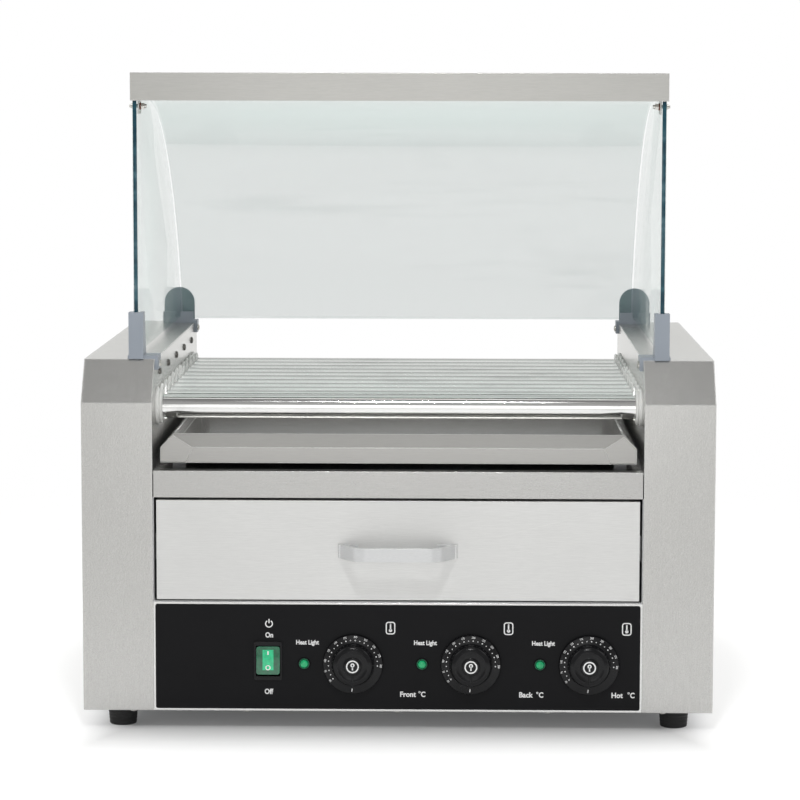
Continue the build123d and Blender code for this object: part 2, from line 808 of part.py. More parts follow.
box_half = inner_x - slide_space
box_bottom = drawer_bottom + box_floor_lift
box_top = drawer_top - box_top_drop
with BuildPart() as drawer_box:
    with BuildSketch(Plane.XY.offset(box_bottom)):
        with Locations((0, behind(sheet))):
            Rectangle(2 * box_half, drawer_box_length, align=(Align.CENTER, Align.MIN))
    extrude(amount=box_top - box_bottom)
    offset(amount=-sheet, openings=drawer_box.faces().sort_by(Axis.Z)[-1])
    cut_holes(Plane.XZ.offset(-front_y), handle_screw_spots, small_screw, sheet * 3)
save(drawer_box.part, "drawer_box")

runner_start = behind(slide_setback + 2)
runner_length = drawer_box_length - slide_setback - 10
slide_inner = box_half + 6
slide_outer = inner_x - sheet
with BuildPart() as drawer_runners:
    for side_name, side in sides:
        runner_bottom = slide_bottom + frame_sheet + slide_clearance
        runner_top = slide_bottom + slide_height - frame_sheet - slide_clearance
        runner_outer = slide_outer - frame_sheet - slide_clearance
        with BuildSketch(Plane.XZ.offset(-runner_start)):
            with BuildLine():
                Polyline(
                    (side * box_half, runner_bottom),
                    (side * runner_outer, runner_bottom),
                    (side * runner_outer, runner_bottom + frame_sheet),
                    (side * (box_half + frame_sheet), runner_bottom + frame_sheet),
                    (side * (box_half + frame_sheet), runner_top - frame_sheet),
                    (side * runner_outer, runner_top - frame_sheet),
                    (side * runner_outer, runner_top),
                    (side * box_half, runner_top),
                    close=True,
                )
            make_face()
        extrude(amount=-runner_length)
save(drawer_runners.part, "drawer_runners")

with BuildPart() as drawer_slides:
    for side_name, side in sides:
        slide_top = slide_bottom + slide_height
        with BuildSketch(Plane.XZ.offset(-behind(slide_setback))):
            with BuildLine():
                Polyline(
                    (side * slide_outer, slide_bottom),
                    (side * slide_inner, slide_bottom),
                    (side * slide_inner, slide_bottom + frame_sheet),
                    (side * (slide_outer - frame_sheet), slide_bottom + frame_sheet),
                    (side * (slide_outer - frame_sheet), slide_top - frame_sheet),
                    (side * slide_inner, slide_top - frame_sheet),
                    (side * slide_inner, slide_top),
                    (side * slide_outer, slide_top),
                    close=True,
                )
            make_face()
        extrude(amount=-drawer_box_length)
save(drawer_slides.part, "drawer_slides")

# Bay that the drawer runs in: floor, sides and back
with BuildPart() as drawer_bay:
    with BuildSketch(Plane.XY.offset(panel_top)):
        with Locations((0, behind(panel_back))):
            Rectangle(2 * inner_x, bay_length, align=(Align.CENTER, Align.MIN))
    extrude(amount=rail_bottom - panel_top)
    bay_front = drawer_bay.faces().sort_by(Axis.Y)[0]
    bay_roof = drawer_bay.faces().sort_by(Axis.Z)[-1]
    offset(amount=-sheet, openings=[bay_front, bay_roof])
save(drawer_bay.part, "drawer_bay")

# Tubular warming element, a U that lies on the bay floor
element_front = behind(element_lead)
element_rear = behind(element_lead + element_length)
element_path = FilletPolyline(
    (-element_half, element_front, panel_top + sheet + heating_rod / 2),
    (-element_half, element_rear, panel_top + sheet + heating_rod / 2),
    (element_half, element_rear, panel_top + sheet + heating_rod / 2),
    (element_half, element_front, panel_top + sheet + heating_rod / 2),
    radius=element_bend,
)
with BuildPart() as drawer_heater:
    with BuildSketch(Plane(origin=element_path @ 0, z_dir=element_path % 0)):
        Circle(heating_rod / 2)
    sweep(path=element_path)
save(drawer_heater.part, "drawer_heater")

# Handle: a flat strip bent into a bow, with a pad at each end for its screw
bow_foot = handle_length / 2 - handle_strip / 2
bow_y = behind(-handle_reach + handle_strip / 2)
with BuildPart() as drawer_handle:
    with BuildSketch(Plane.XY.offset(handle_z - handle_height / 2)):
        with BuildLine():
            FilletPolyline(
                (-bow_foot - 0.3, behind(2)),
                (-bow_foot + handle_lean, bow_y),
                (bow_foot - handle_lean, bow_y),
                (bow_foot + 0.3, behind(2)),
                radius=handle_bend,
            )
        trace(line_width=handle_strip)
        with Locations((0, front_y)):
            Rectangle(overall_width, handle_reach, align=(Align.CENTER, Align.MIN), mode=Mode.SUBTRACT)
        for side_name, side in sides:
            with Locations((side * handle_screw_x, front_y)):
                Rectangle(handle_pad + handle_strip, handle_strip, align=(Align.CENTER, Align.MAX))
    extrude(amount=handle_height)
    cut_holes(Plane.XZ.offset(-front_y), handle_screw_spots, small_screw, handle_strip * 2)
save(drawer_handle.part, "drawer_handle")

with BuildPart() as handle_screws:
    head_plane = Plane(origin=(0, behind(2 * sheet), 0), x_dir=(-1, 0, 0), z_dir=(0, 1, 0))
    add_pan_screws(head_plane, [(-x, z) for x, z in handle_screw_spots], 2 * sheet + handle_strip)
save(handle_screws.part, "handle_screws")

# Drip tray: walls, inward lips at 45 degrees, and flat ears lapped over the front corners
tray_half = inner_x - tray_side_gap
tray_front = behind(tray_setback)
tray_length = rear_panel_y - tray_rear_gap - tray_front
with BuildPart() as drip_tray:
    for inset, tray_mode in ((0, Mode.ADD), (sheet, Mode.SUBTRACT)):
        with BuildSketch(Plane.XY.offset(tray_bottom + inset)):
            with Locations((0, tray_front + tray_length / 2)):
                Rectangle(2 * (tray_half - inset), tray_length - 2 * inset)
        extrude(amount=tray_wall - inset, mode=tray_mode)
        with BuildSketch(Plane.XY.offset(tray_rim)):
            with Locations((0, tray_front + tray_length / 2)):
                Rectangle(2 * (tray_half - inset * 1.4), tray_length - 2.8 * inset)
        extrude(amount=tray_lip, taper=45, mode=tray_mode)
    for side_name, side in sides:
        with BuildSketch(Plane.XZ.offset(-tray_front)):
            with BuildLine():
                Polyline(
                    (side * tray_half, tray_bottom + sheet),
                    (side * tray_half, tray_rim),
                    (side * (tray_half - tray_lip), tray_rim + tray_lip),
                    (side * (tray_half - ear_width), tray_rim),
                    (side * (tray_half - ear_width + ear_slant), tray_bottom + sheet),
                    close=True,
                )
            make_face()
        extrude(amount=sheet)
save(drip_tray.part, "drip_tray")

# Hood glass: an arc that runs level at the top, then two flat sides to the same outline
hood_front = behind(hood_setback)
cover_bottom = case_top + hood_height - cover_height
glass_top = cover_bottom + sheet + glass
glass_bottom = case_top + glass_lift
glass_front = hood_front + sheet + glass_front_gap
glass_outer = inner_x + hood_overhang
glass_inner = glass_outer - glass
curve_rise = glass_top - glass_bottom
curve_run = case_depth - glass_rear_margin - hood_setback - curve_start
curve_radius = (curve_run**2 + curve_rise**2) / (2 * curve_rise)
curve_y = hood_front + curve_start
curve_z = glass_top - curve_radius
curve_end = degrees(asin((glass_bottom - curve_z) / curve_radius))
curved_front = hood_front + curved_glass_start
curved_half = glass_inner - frame_sheet - glass_side_gap
with BuildPart() as hood_curved_glass:
    with BuildSketch(Plane.YZ.offset(-curved_half)):
        with BuildLine():
            outer_arc = CenterArc((curve_y, curve_z), curve_radius, curve_end, 90 - curve_end)
            inner_arc = CenterArc((curve_y, curve_z), curve_radius - glass, curve_end, 90 - curve_end)
            Line(outer_arc @ 0, inner_arc @ 0)
            Polyline(
                outer_arc @ 1,
                (curved_front, glass_top),
                (curved_front, glass_top - glass),
                inner_arc @ 1,
            )
        make_face()
    extrude(amount=2 * curved_half)
save(hood_curved_glass.part, "hood_curved_glass")

bolt_y = hood_front + bolt_setback
bolt_z = cover_bottom - bolt_drop
for side_name, side in sides:
    with BuildPart() as side_glass:
        with BuildSketch(Plane.YZ.offset(side * glass_inner)):
            with BuildLine():
                rear_arc = CenterArc((curve_y, curve_z), curve_radius, curve_end, 90 - curve_end)
                Polyline(
                    rear_arc @ 1,
                    (glass_front, glass_top),
                    (glass_front, glass_bottom),
                    rear_arc @ 0,
                )
            make_face()
        extrude(amount=side * glass)
        cut_holes(Plane.YZ.offset(side * glass_inner), [(bolt_y, bolt_z)], bolt_diameter, glass * 2)
    save(side_glass.part, f"hood_{side_name}_glass")

# Top cover: a folded channel, with a return that the glass lies on and a tab at each end
cover_half = glass_outer + cover_side_gap + sheet
with BuildPart() as hood_top_cover:
    with BuildSketch(Plane.XY.offset(cover_bottom)):
        with Locations((0, hood_front)):
            Rectangle(2 * cover_half, cover_depth, align=(Align.CENTER, Align.MIN))
    extrude(amount=cover_height)
    offset(amount=-sheet, openings=hood_top_cover.faces().sort_by(Axis.Z)[0])
    with BuildSketch(Plane.XZ.offset(-(hood_front + cover_depth - sheet))):
        with Locations((0, cover_bottom)):
            Rectangle(
                2 * cover_half,
                glass_top - cover_bottom + 1,
                align=(Align.CENTER, Align.MIN),
            )
    extrude(amount=-2 * sheet, mode=Mode.SUBTRACT)
    with BuildSketch(Plane.XY.offset(cover_bottom)):
        with Locations((0, hood_front)):
            Rectangle(
                2 * (glass_inner - frame_sheet),
                curve_start / 2,
                align=(Align.CENTER, Align.MIN),
            )
    extrude(amount=sheet)
    for side_name, side in sides:
        with BuildSketch(Plane.YZ.offset(side * glass_inner)):
            with Locations((bolt_y, cover_bottom - tab_drop)):
                Rectangle(
                    tab_width,
                    cover_height + tab_drop - sheet / 2,
                    align=(Align.CENTER, Align.MIN),
                )
        extrude(amount=-side * frame_sheet)
        cut_holes(Plane.YZ.offset(side * glass_inner), [(bolt_y, bolt_z)], bolt_diameter, glass * 2)
save(hood_top_cover.part, "hood_top_cover")

washer_thickness = 1.0
nut_height = 3.2
with BuildPart() as hood_washers:
    for side_name, side in sides:
        with BuildSketch(Plane.YZ.offset(side * (glass_inner - frame_sheet))):
            with Locations((bolt_y, bolt_z)):
                Circle(bolt_diameter - running_clearance * 4)
                Circle(bolt_diameter / 2, mode=Mode.SUBTRACT)
        extrude(amount=-side * washer_thickness)
save(hood_washers.part, "hood_washers")

with BuildPart() as hood_top_bolts:
    for side_name, side in sides:
        bolt_end = glass_inner - frame_sheet - washer_thickness - nut_height
        with BuildSketch(Plane.YZ.offset(side * bolt_end)):
            with Locations((bolt_y, bolt_z)):
                RegularPolygon(bolt_diameter * 0.9, 6)
        extrude(amount=side * nut_height)
        with BuildSketch(Plane.YZ.offset(side * (bolt_end - 2))):
            with Locations((bolt_y, bolt_z)):
                Circle(bolt_diameter / 2)
        extrude(amount=side * (glass_outer - bolt_end + 2))
        with BuildSketch(Plane.YZ.offset(side * glass_outer)):
            with Locations((bolt_y, bolt_z)):
                Circle(bolt_diameter - 0.5)
        extrude(amount=side * 3.5, taper=25)
save(hood_top_bolts.part, "hood_top_bolts")

# Front brackets: slotted post, foot plate and a hook over the edge of the casing
glass_middle = glass_outer - glass / 2
hook_inner = inner_x - bracket_inner
plate_outer = glass_middle + post_width / 2 + plate_margin
with BuildPart() as hood_front_brackets:
    for side_name, side in sides:
        with BuildSketch(Plane.XZ.offset(-hood_front)):
            with BuildLine():
                Polyline(
                    (side * inner_x, case_top),
                    (side * inner_x, case_top - hook_drop),
                    (side * hook_inner, case_top - hook_drop),
                    (side * hook_inner, case_top + foot_plate),
                    (side * plate_outer, case_top + foot_plate),
                    (side * plate_outer, case_top),
                    close=True,
                )
            make_face()
        extrude(amount=-bracket_length)
        with BuildSketch(Plane.YZ.offset(side * (glass_middle - post_width / 2))):
            with BuildLine():
                Polyline(
                    (hood_front - 2, case_top),
                    (hood_front - 2, case_top + post_height),
                    (hood_front + bracket_length / 2 - 2, case_top + post_height),
                    (hood_front + bracket_length - 4, case_top),
                    close=True,
                )
            make_face()
        extrude(amount=side * post_width)
        with BuildSketch(Plane.YZ.offset(side * glass_inner)):
            with Locations((glass_front, glass_bottom)):
                Rectangle(bracket_length * 2, post_height, align=(Align.MIN, Align.MIN))
        extrude(amount=side * glass, mode=Mode.SUBTRACT)
        wall_plane = Plane.YZ.offset(side * inner_x)
        cut_holes(wall_plane, hook_screw_spots[:1], small_screw, bracket_inner * 2)
save(hood_front_brackets.part, "hood_front_brackets")

# Rear brackets: foot plate and hook, a domed plate behind the glass and a low lip before it
inner_rise = glass_bottom + lip_height - curve_z
lip_y = curve_y + ((curve_radius - glass) ** 2 - inner_rise**2) ** 0.5 - lip_gap
dome_y = curve_y + curve_run + dome_gap
rear_plate_outer = glass_middle + dome_width / 2
dome_radius = dome_width / 2
with BuildPart() as hood_rear_brackets:
    for side_name, side in sides:
        with BuildSketch(Plane.XZ.offset(-lip_y)):
            with BuildLine():
                Polyline(
                    (side * inner_x, case_top),
                    (side * inner_x, case_top - hook_drop),
                    (side * hook_inner, case_top - hook_drop),
                    (side * hook_inner, case_top + foot_plate),
                    (side * rear_plate_outer, case_top + foot_plate),
                    (side * rear_plate_outer, case_top),
                    close=True,
                )
            make_face()
        extrude(amount=-(dome_y + foot_plate - lip_y))
        with BuildSketch(Plane.XZ.offset(-dome_y)):
            with Locations((side * glass_middle, case_top)):
                Rectangle(dome_width, dome_height - dome_radius, align=(Align.CENTER, Align.MIN))
            with Locations((side * glass_middle, case_top + dome_height - dome_radius)):
                Circle(dome_radius)
        extrude(amount=-foot_plate)
        with BuildSketch(Plane.XZ.offset(-lip_y)):
            with Locations((side * glass_middle, case_top)):
                Rectangle(dome_width, foot_plate + lip_height, align=(Align.CENTER, Align.MIN))
            with Locations((side * glass_middle, glass_bottom)):
                Rectangle(glass, lip_height * 2, align=(Align.CENTER, Align.MIN), mode=Mode.SUBTRACT)
        extrude(amount=-2)
        wall_plane = Plane.YZ.offset(side * inner_x)
        cut_holes(wall_plane, hook_screw_spots[1:], small_screw, bracket_inner * 2)
save(hood_rear_brackets.part, "hood_rear_brackets")

with BuildPart() as hood_bracket_screws:
    right_plane = Plane(origin=(hook_inner, 0, 0), x_dir=(0, -1, 0), z_dir=(-1, 0, 0))
    hook_screw_length = bracket_inner + frame_sheet + 2
    add_pan_screws(Plane.YZ.offset(-hook_inner), hook_screw_spots, hook_screw_length)
    add_pan_screws(right_plane, [(-y, z) for y, z in hook_screw_spots], hook_screw_length)
save(hood_bracket_screws.part, "hood_bracket_screws")

# Rubber feet, and the screws that hold them and the panel's lower flange
foot_recess = 9.0
foot_taper = degrees(asin((foot_top - foot_bottom) / 2 / foot_height))
with BuildPart() as feet:
    with BuildSketch(Plane.XY.offset(foot_height)):
        with Locations(*foot_spots):
            Circle(foot_top / 2)
    extrude(amount=-foot_height, taper=foot_taper)
    cut_holes(Plane.XY, foot_spots, screw_head + 4, foot_recess)
    cut_holes(Plane.XY, foot_spots, small_screw, foot_height)
save(feet.part, "feet")

with BuildPart() as base_screws:
    upside_down = Plane(origin=(0, 0, foot_recess), x_dir=(1, 0, 0), z_dir=(0, 0, -1))
    under_pan = Plane(origin=(0, 0, foot_height), x_dir=(1, 0, 0), z_dir=(0, 0, -1))
    add_pan_screws(upside_down, [(x, -y) for x, y in foot_spots], foot_height - foot_recess + 5)
    add_pan_screws(under_pan, [(x, -y) for x, y in base_screw_spots], 6)
save(base_screws.part, "base_screws")
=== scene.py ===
import math

import bmesh
import bpy
from mathutils import Matrix, Vector


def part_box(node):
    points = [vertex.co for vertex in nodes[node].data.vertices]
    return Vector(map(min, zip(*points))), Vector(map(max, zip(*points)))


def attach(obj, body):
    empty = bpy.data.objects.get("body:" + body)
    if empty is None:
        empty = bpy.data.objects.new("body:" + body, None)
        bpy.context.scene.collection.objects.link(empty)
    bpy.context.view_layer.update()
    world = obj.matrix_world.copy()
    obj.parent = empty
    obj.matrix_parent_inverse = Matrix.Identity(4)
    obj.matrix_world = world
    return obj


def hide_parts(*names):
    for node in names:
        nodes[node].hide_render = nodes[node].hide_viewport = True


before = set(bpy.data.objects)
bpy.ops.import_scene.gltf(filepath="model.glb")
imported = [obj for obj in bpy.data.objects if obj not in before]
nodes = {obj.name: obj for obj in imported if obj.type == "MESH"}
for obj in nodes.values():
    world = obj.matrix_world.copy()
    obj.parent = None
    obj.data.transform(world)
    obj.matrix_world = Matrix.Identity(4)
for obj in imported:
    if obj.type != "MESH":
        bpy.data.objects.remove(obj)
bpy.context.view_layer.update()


# a shader socket that can be added, multiplied and compared
class Field:
    def __init__(self, graph, socket):
        self.graph = graph
        self.socket = socket

    def combine(self, operation, *others):
        # others are numbers or fields, in the order of the node's inputs
        values = dict(enumerate((self,) + others))
        return self.graph.add("ShaderNodeMath", {"operation": operation}, values).out()

    def reverse(self, operation, other):
        return self.graph.add("ShaderNodeMath", {"operation": operation}, {0: other, 1: self}).out()

    def __add__(self, other):
        return self.combine("ADD", other)

    def __radd__(self, other):
        return self.reverse("ADD", other)

    def __sub__(self, other):
        return self.combine("SUBTRACT", other)

    def __rsub__(self, other):
        return self.reverse("SUBTRACT", other)

    def __mul__(self, other):
        return self.combine("MULTIPLY", other)

    def __rmul__(self, other):
        return self.reverse("MULTIPLY", other)

    def __truediv__(self, other):
        return self.combine("DIVIDE", other)

    def __pow__(self, other):
        return self.combine("POWER", other)

    def span(self, low, high):
        # 0 below low, 1 above high, smooth between
        settings = {"interpolation_type": "SMOOTHSTEP"}
        values = {"Value": self, "From Min": low, "From Max": high}
        return self.graph.add("ShaderNodeMapRange", settings, values).out()


class Made:
    # a node that has been placed, with its outputs as fields
    def __init__(self, graph, node):
        self.graph = graph
        self.node = node

    def out(self, name=0):
        return Field(self.graph, self.node.outputs[name])


class Graph:
    def __init__(self, name):
        self.material = bpy.data.materials.new(name)
        self.material.use_nodes = True
        self.tree = self.material.node_tree
        self.shader = self.tree.nodes["Principled BSDF"]

    def add(self, kind, settings=None, values=None):
        node = self.tree.nodes.new(kind)
        for key, value in (settings or {}).items():
            if key == "stops":
                ramp = node.color_ramp
                while len(ramp.elements) < len(value):
                    ramp.elements.new(0.5)
                for element, (place, colour) in zip(ramp.elements, value):
                    element.position = place
                    element.color = (*colour, 1.0)
            else:
                setattr(node, key, value)
        for key, value in (values or {}).items():
            self.feed(node.inputs[key], value)
        return Made(self, node)

    def feed(self, socket, value):
        if isinstance(value, Field):
            self.tree.links.new(value.socket, socket)
        elif isinstance(value, tuple) and len(value) == 3 and socket.type == "RGBA":
            socket.default_value = (*value, 1.0)
        else:
            socket.default_value = value

    def set(self, **values):
        # shader inputs by name, with spaces written as underscores
        for key, value in values.items():
            self.feed(self.shader.inputs[key.replace("_", " ")], value)
        return self

    def place(self, scale=(1.0, 1.0, 1.0), turn=(0.0, 0.0, 0.0)):
        coords = self.add("ShaderNodeTexCoord").out("Object")
        return self.add("ShaderNodeMapping", None, {"Vector": coords, "Scale": scale, "Rotation": turn}).out()

    def noise(self, scale, detail=3.0, stretch=(1.0, 1.0, 1.0), rough=0.5):
        values = {"Vector": self.place(stretch), "Scale": scale, "Detail": detail, "Roughness": rough}
        return self.add("ShaderNodeTexNoise", None, values).out("Fac")

    def mixColour(self, factor, first, second, blend="MIX"):
        node = self.tree.nodes.new("ShaderNodeMix")
        node.data_type = "RGBA"
        node.blend_type = blend
        self.feed(node.inputs["Factor"], factor)
        self.feed(node.inputs[6], first)
        self.feed(node.inputs[7], second)
        return Field(self, node.outputs[2])

    def bump(self, height, strength, distance, normal=None):
        values = {"Height": height, "Strength": strength, "Distance": distance}
        if normal is not None:
            values["Normal"] = normal
        return self.add("ShaderNodeBump", None, values).out()

    def edgeWearAndHighlight(self, radius):
        # 0 on flat faces, towards 1 within the radius of an edge, with the rounded normal; the mask drives
        # rubbed edges and painted edge highlights
        rounded = self.add("ShaderNodeBevel", {"samples": 4}, {"Radius": radius}).out()
        flat = self.add("ShaderNodeNewGeometry").out("Normal")
        product = self.add("ShaderNodeVectorMath", {"operation": "DOT_PRODUCT"}, {0: rounded, 1: flat})
        dot = product.out("Value")
        return (1 - dot).span(0.004, 0.09), rounded


def brushedSteel(name, tone, rough=0.30, grain=(1, 60, 60), cloud=0.05, edge=0.0011, metal=0.86):
    g = Graph(name)
    lines = g.noise(70, 3, grain, 0.7)
    fine = g.noise(240, 2, grain, 0.6)
    smudge = g.noise(7, 4, (1, 1, 1), 0.6)
    wearAndHighlight, rounded = g.edgeWearAndHighlight(edge)
    dark = tuple(c * 0.93 for c in tone)
    light = tuple(min(1.0, c * 1.05) for c in tone)
    streaked = g.mixColour(lines.span(0.3, 0.7), dark, light)
    clouded = g.mixColour(smudge.span(0.35, 0.75) * cloud * 4, streaked, tuple(c * 0.9 for c in tone))
    # edges are whitened, made less metallic and smoother: a painted highlight along bends and rims
    g.set(Base_Color=g.mixColour(wearAndHighlight * 0.75, clouded, (0.95, 0.95, 0.93)))
    g.set(Metallic=metal - wearAndHighlight * metal * 0.7)
    g.set(Roughness=rough + (fine - 0.5) * 0.12 + (smudge - 0.5) * cloud - wearAndHighlight * 0.1)
    g.set(Normal=g.bump(lines + fine * 0.5, 0.08, 0.0001, rounded))
    return g.material


def polishedSteel(name, tone=(0.80, 0.80, 0.79), rough=0.09, grain=(60, 1, 1)):
    g = Graph(name)
    rings = g.noise(30, 3, grain, 0.6)
    film = g.noise(14, 4, (1, 3, 3), 0.6)
    wearAndHighlight, rounded = g.edgeWearAndHighlight(0.0004)
    g.set(Base_Color=g.mixColour(film.span(0.4, 0.8), tone, tuple(c * 0.84 for c in tone)))
    g.set(Metallic=1.0, Roughness=rough + (rings - 0.5) * 0.05 + film.span(0.45, 0.8) * 0.08)
    g.set(Normal=g.bump(rings, 0.04, 0.0001, rounded))
    return g.material


def moulded(name, tone, rough=0.45, grainScale=900, grainDepth=0.12, wearTone=None, mottle=0.12, sheen=0.5):
    # plastic or rubber with a fine skin texture, slight mottling and paler rubbed edges
    g = Graph(name)
    skin = g.noise(grainScale, 2)
    patch = g.noise(26, 4)
    wearAndHighlight, rounded = g.edgeWearAndHighlight(0.0006)
    worn = wearTone or tuple(min(1.0, c * 1.6 + 0.02) for c in tone)
    base = g.mixColour(patch.span(0.3, 0.75) * mottle, tone, tuple(c * 0.7 for c in tone))
    g.set(Base_Color=g.mixColour(wearAndHighlight * 0.45, base, worn))
    g.set(Roughness=rough + (patch - 0.5) * 0.14 + (skin - 0.5) * 0.08)
    g.set(Specular_IOR_Level=sheen, Normal=g.bump(skin, grainDepth, 0.0002, rounded))
    return g.material


def glassPane(name, depth=0.13):
    g = Graph(name)
    smear = g.noise(7, 4, (1, 1, 2.5), 0.6)
    wipes = g.noise(3.5, 3, (0.6, 2, 7), 0.7)
    facing = g.add("ShaderNodeLayerWeight", None, {"Blend": 0.12}).out("Fresnel")
    g.set(Base_Color=g.mixColour(smear.span(0.45, 0.8) * 0.3, (0.18, 0.37, 0.32), (0.30, 0.46, 0.42)))
    g.set(Roughness=0.03 + smear.span(0.5, 0.8) * 0.06, IOR=1.5, Specular_IOR_Level=0.6)
    g.set(Alpha=depth + facing * 0.12 + smear.span(0.5, 0.85) * 0.03 + wipes.span(0.55, 0.75) * 0.035)
    return g.material


def glassEdge(name, deep, pale, cover=1.0):
    # the ground edge of a pane, where the light gathers
    g = Graph(name)
    polish = g.noise(60, 3, (1, 1, 1))
    depth = g.noise(18, 3, (1, 1, 6))
    g.set(Base_Color=g.mixColour(depth.span(0.3, 0.7), deep, pale))
    g.set(Roughness=0.16 + (polish - 0.5) * 0.1, IOR=1.5, Specular_IOR_Level=0.3, Coat_Weight=0.1)
    g.set(Alpha=cover - depth.span(0.5, 0.8) * 0.08)
    return g.material


def litPlastic(name, tone, glow, edgeTone):
    # clear coloured plastic, paler along its edges and in its moulded facets; its paler, brighter-glowing
    # edges are a painted glint
    g = Graph(name)
    facets = g.noise(420, 2)
    patch = g.noise(260, 3)
    wearAndHighlight, rounded = g.edgeWearAndHighlight(0.0006)
    mottled = g.mixColour(patch.span(0.38, 0.68), tone, tuple(c * 0.6 for c in tone))
    g.set(Base_Color=g.mixColour(wearAndHighlight * 0.8, mottled, edgeTone))
    # the edges glow in the paler tone: a painted glint
    g.set(Emission_Color=g.mixColour(wearAndHighlight, tone, edgeTone), Emission_Strength=glow)
    g.set(Roughness=0.14 + (patch - 0.5) * 0.08, Coat_Weight=0.4)
    g.set(Normal=g.bump(facets, 0.12, 0.0003, rounded))
    return g.material


def printedInk(name, tone=(0.86, 0.86, 0.86)):
    g = Graph(name)
    speck = g.noise(1400, 2)
    g.set(Base_Color=g.mixColour(speck.span(0.55, 0.8) * 0.35, tone, tuple(c * 0.7 for c in tone)))
    g.set(Roughness=0.45 + (speck - 0.5) * 0.2)
    return g.material


finishes = {
    "casing": brushedSteel("casingSteel", (0.53, 0.525, 0.512), 0.27, (60, 60, 1.5), 0.03, 0.0019),
    "wall": brushedSteel("wallSteel", (0.56, 0.555, 0.545), 0.22, (60, 1.2, 60)),
    "drawer": brushedSteel("drawerSteel", (0.70, 0.70, 0.69), 0.40, (1.2, 60, 60), 0.08, metal=0.5),
    # a paler, nearly non-metallic copy of the wall steel: painted light on the back of the bay
    "rearWall": brushedSteel("rearWallPaintedLightSteel", (0.74, 0.75, 0.77), 0.35, (1.2, 60, 60), 0.05, metal=0.25),
    "rail": brushedSteel("railSteel", (0.49, 0.485, 0.475), 0.28, (1.2, 60, 60)),
    "tray": brushedSteel("traySteel", (0.42, 0.415, 0.40), 0.22, (1.2, 60, 60), 0.03, metal=0.62),
    "cover": brushedSteel("coverSteel", (0.47, 0.465, 0.445), 0.36, (1.2, 60, 60)),
    "trim": brushedSteel("trimSteel", (0.74, 0.74, 0.73), 0.2, (1.2, 60, 60)),
    "plated": brushedSteel("platedSheet", (0.50, 0.51, 0.52), 0.36, (4, 4, 4), 0.14),
    "tube": polishedSteel("rollerTube"),
    "screw": polishedSteel("screwMetal", (0.62, 0.61, 0.58), 0.2, (8, 8, 8)),
    "darkScrew": polishedSteel("darkScrewMetal", (0.20, 0.19, 0.18), 0.16, (8, 8, 8)),
    "ptfe": moulded("sealPtfe", (0.83, 0.83, 0.81), 0.38, 500, 0.05, (0.9, 0.9, 0.88), 0.2),
    "bracket": moulded("bracketPlastic", (0.30, 0.335, 0.385), 0.42, 700, 0.1),
    "overlay": moulded("panelOverlay", (0.007, 0.007, 0.008), 0.45, 1100, 0.05, (0.012, 0.012, 0.012),
                       sheen=0.12),
    "black": moulded("blackPlastic", (0.006, 0.006, 0.007), 0.24, 800, 0.05, (0.016, 0.016, 0.017),
                     sheen=0.22),
    "knob": moulded("knobPlastic", (0.006, 0.006, 0.007), 0.25, 800, 0.04, (0.018, 0.018, 0.019), sheen=0.27),
    "rubber": moulded("footRubber", (0.010, 0.010, 0.010), 0.7, 500, 0.3),
    "green": litPlastic("greenKey", (0.0, 0.11, 0.045), 0.17, (0.10, 0.46, 0.27)),
    "bright": litPlastic("greenWindow", (0.0, 0.40, 0.17), 0.5, (0.1, 0.6, 0.3)),
    "lamp": litPlastic("greenLamp", (0.0, 0.28, 0.10), 0.45, (0.02, 0.5, 0.2)),
    "deepGreen": litPlastic("deepGreen", (0.0, 0.055, 0.025), 0.1, (0.02, 0.3, 0.14)),
    "handle": brushedSteel("handleAluminium", (0.66, 0.665, 0.67), 0.38, (3, 3, 60), 0.03, metal=0.5),
    "bronze": brushedSteel("bearingBronze", (0.45, 0.27, 0.12), 0.4, (6, 6, 6), 0.1),
    "chain": brushedSteel("chainSteel", (0.16, 0.16, 0.16), 0.4, (9, 9, 9), 0.2),
    "motor": moulded("motorPaint", (0.12, 0.12, 0.13), 0.4, 400, 0.2),
    "fibre": moulded("fibreWasher", (0.20, 0.06, 0.035), 0.6, 600, 0.3),
    "ivory": moulded("terminalPlastic", (0.62, 0.58, 0.48), 0.5, 600, 0.1),
    "ink": printedInk("whiteInk"),
    "pane": glassPane("temperedPane", 0.17),
    "curvedPane": glassPane("curvedPane", 0.165),
    "paneEdge": glassEdge("temperedEdge", (0.006, 0.040, 0.062), (0.022, 0.095, 0.125)),
    "curvedEdge": glassEdge("curvedEdge", (0.30, 0.50, 0.46), (0.36, 0.52, 0.49), 0.22),
}

nodeFinish = {
    "casing": ("left_side_cover", "right_side_cover"),
    "wall": ("left_side_frame", "right_side_frame", "tray_shelf"),
    "rearWall": ("rear_panel",),
    "drawer": ("drawer_front", "drawer_box"),
    "rail": ("front_rail",),
    "tray": ("drip_tray",),
    "cover": ("hood_top_cover",),
    "trim": ("control_panel",),
    "plated": ("base_pan", "tray_rails", "drawer_bay", "drawer_slides", "drawer_runners", "heater_bars"),
    "tube": tuple(name for name in nodes if name.startswith("roller_") and name[-1].isdigit()),
    "darkScrew": ("wall_screws",),
    "screw": ("base_screws", "hood_bracket_screws", "hood_top_bolts", "handle_screws",
              "roller_heaters", "drawer_heater"),
    "ptfe": ("roller_seals",),
    "bracket": ("hood_front_brackets", "hood_rear_brackets"),
    "overlay": ("panel_overlay",),
    "black": ("switch_body", "thermostats", "cable_gland", "pilot_light_bodies", "knob_front", "knob_back",
              "knob_hot"),
    "green": ("power_rocker", "pilot_light_lenses"),
    "rubber": ("feet",),
    "handle": ("drawer_handle",),
    "bronze": ("roller_bearings",),
    "chain": ("chain", "drive_sprocket"),
    "motor": ("motor",),
    "fibre": ("hood_washers",),
    "ivory": ("terminal_block",),
    "pane": ("hood_left_glass", "hood_right_glass", "hood_curved_glass"),
}
for finishName, nodeNames in nodeFinish.items():
    for nodeName in nodeNames:
        mesh = nodes[nodeName].data
        mesh.materials.clear()
        mesh.materials.append(finishes[finishName])
print("finishes laid on the frame")


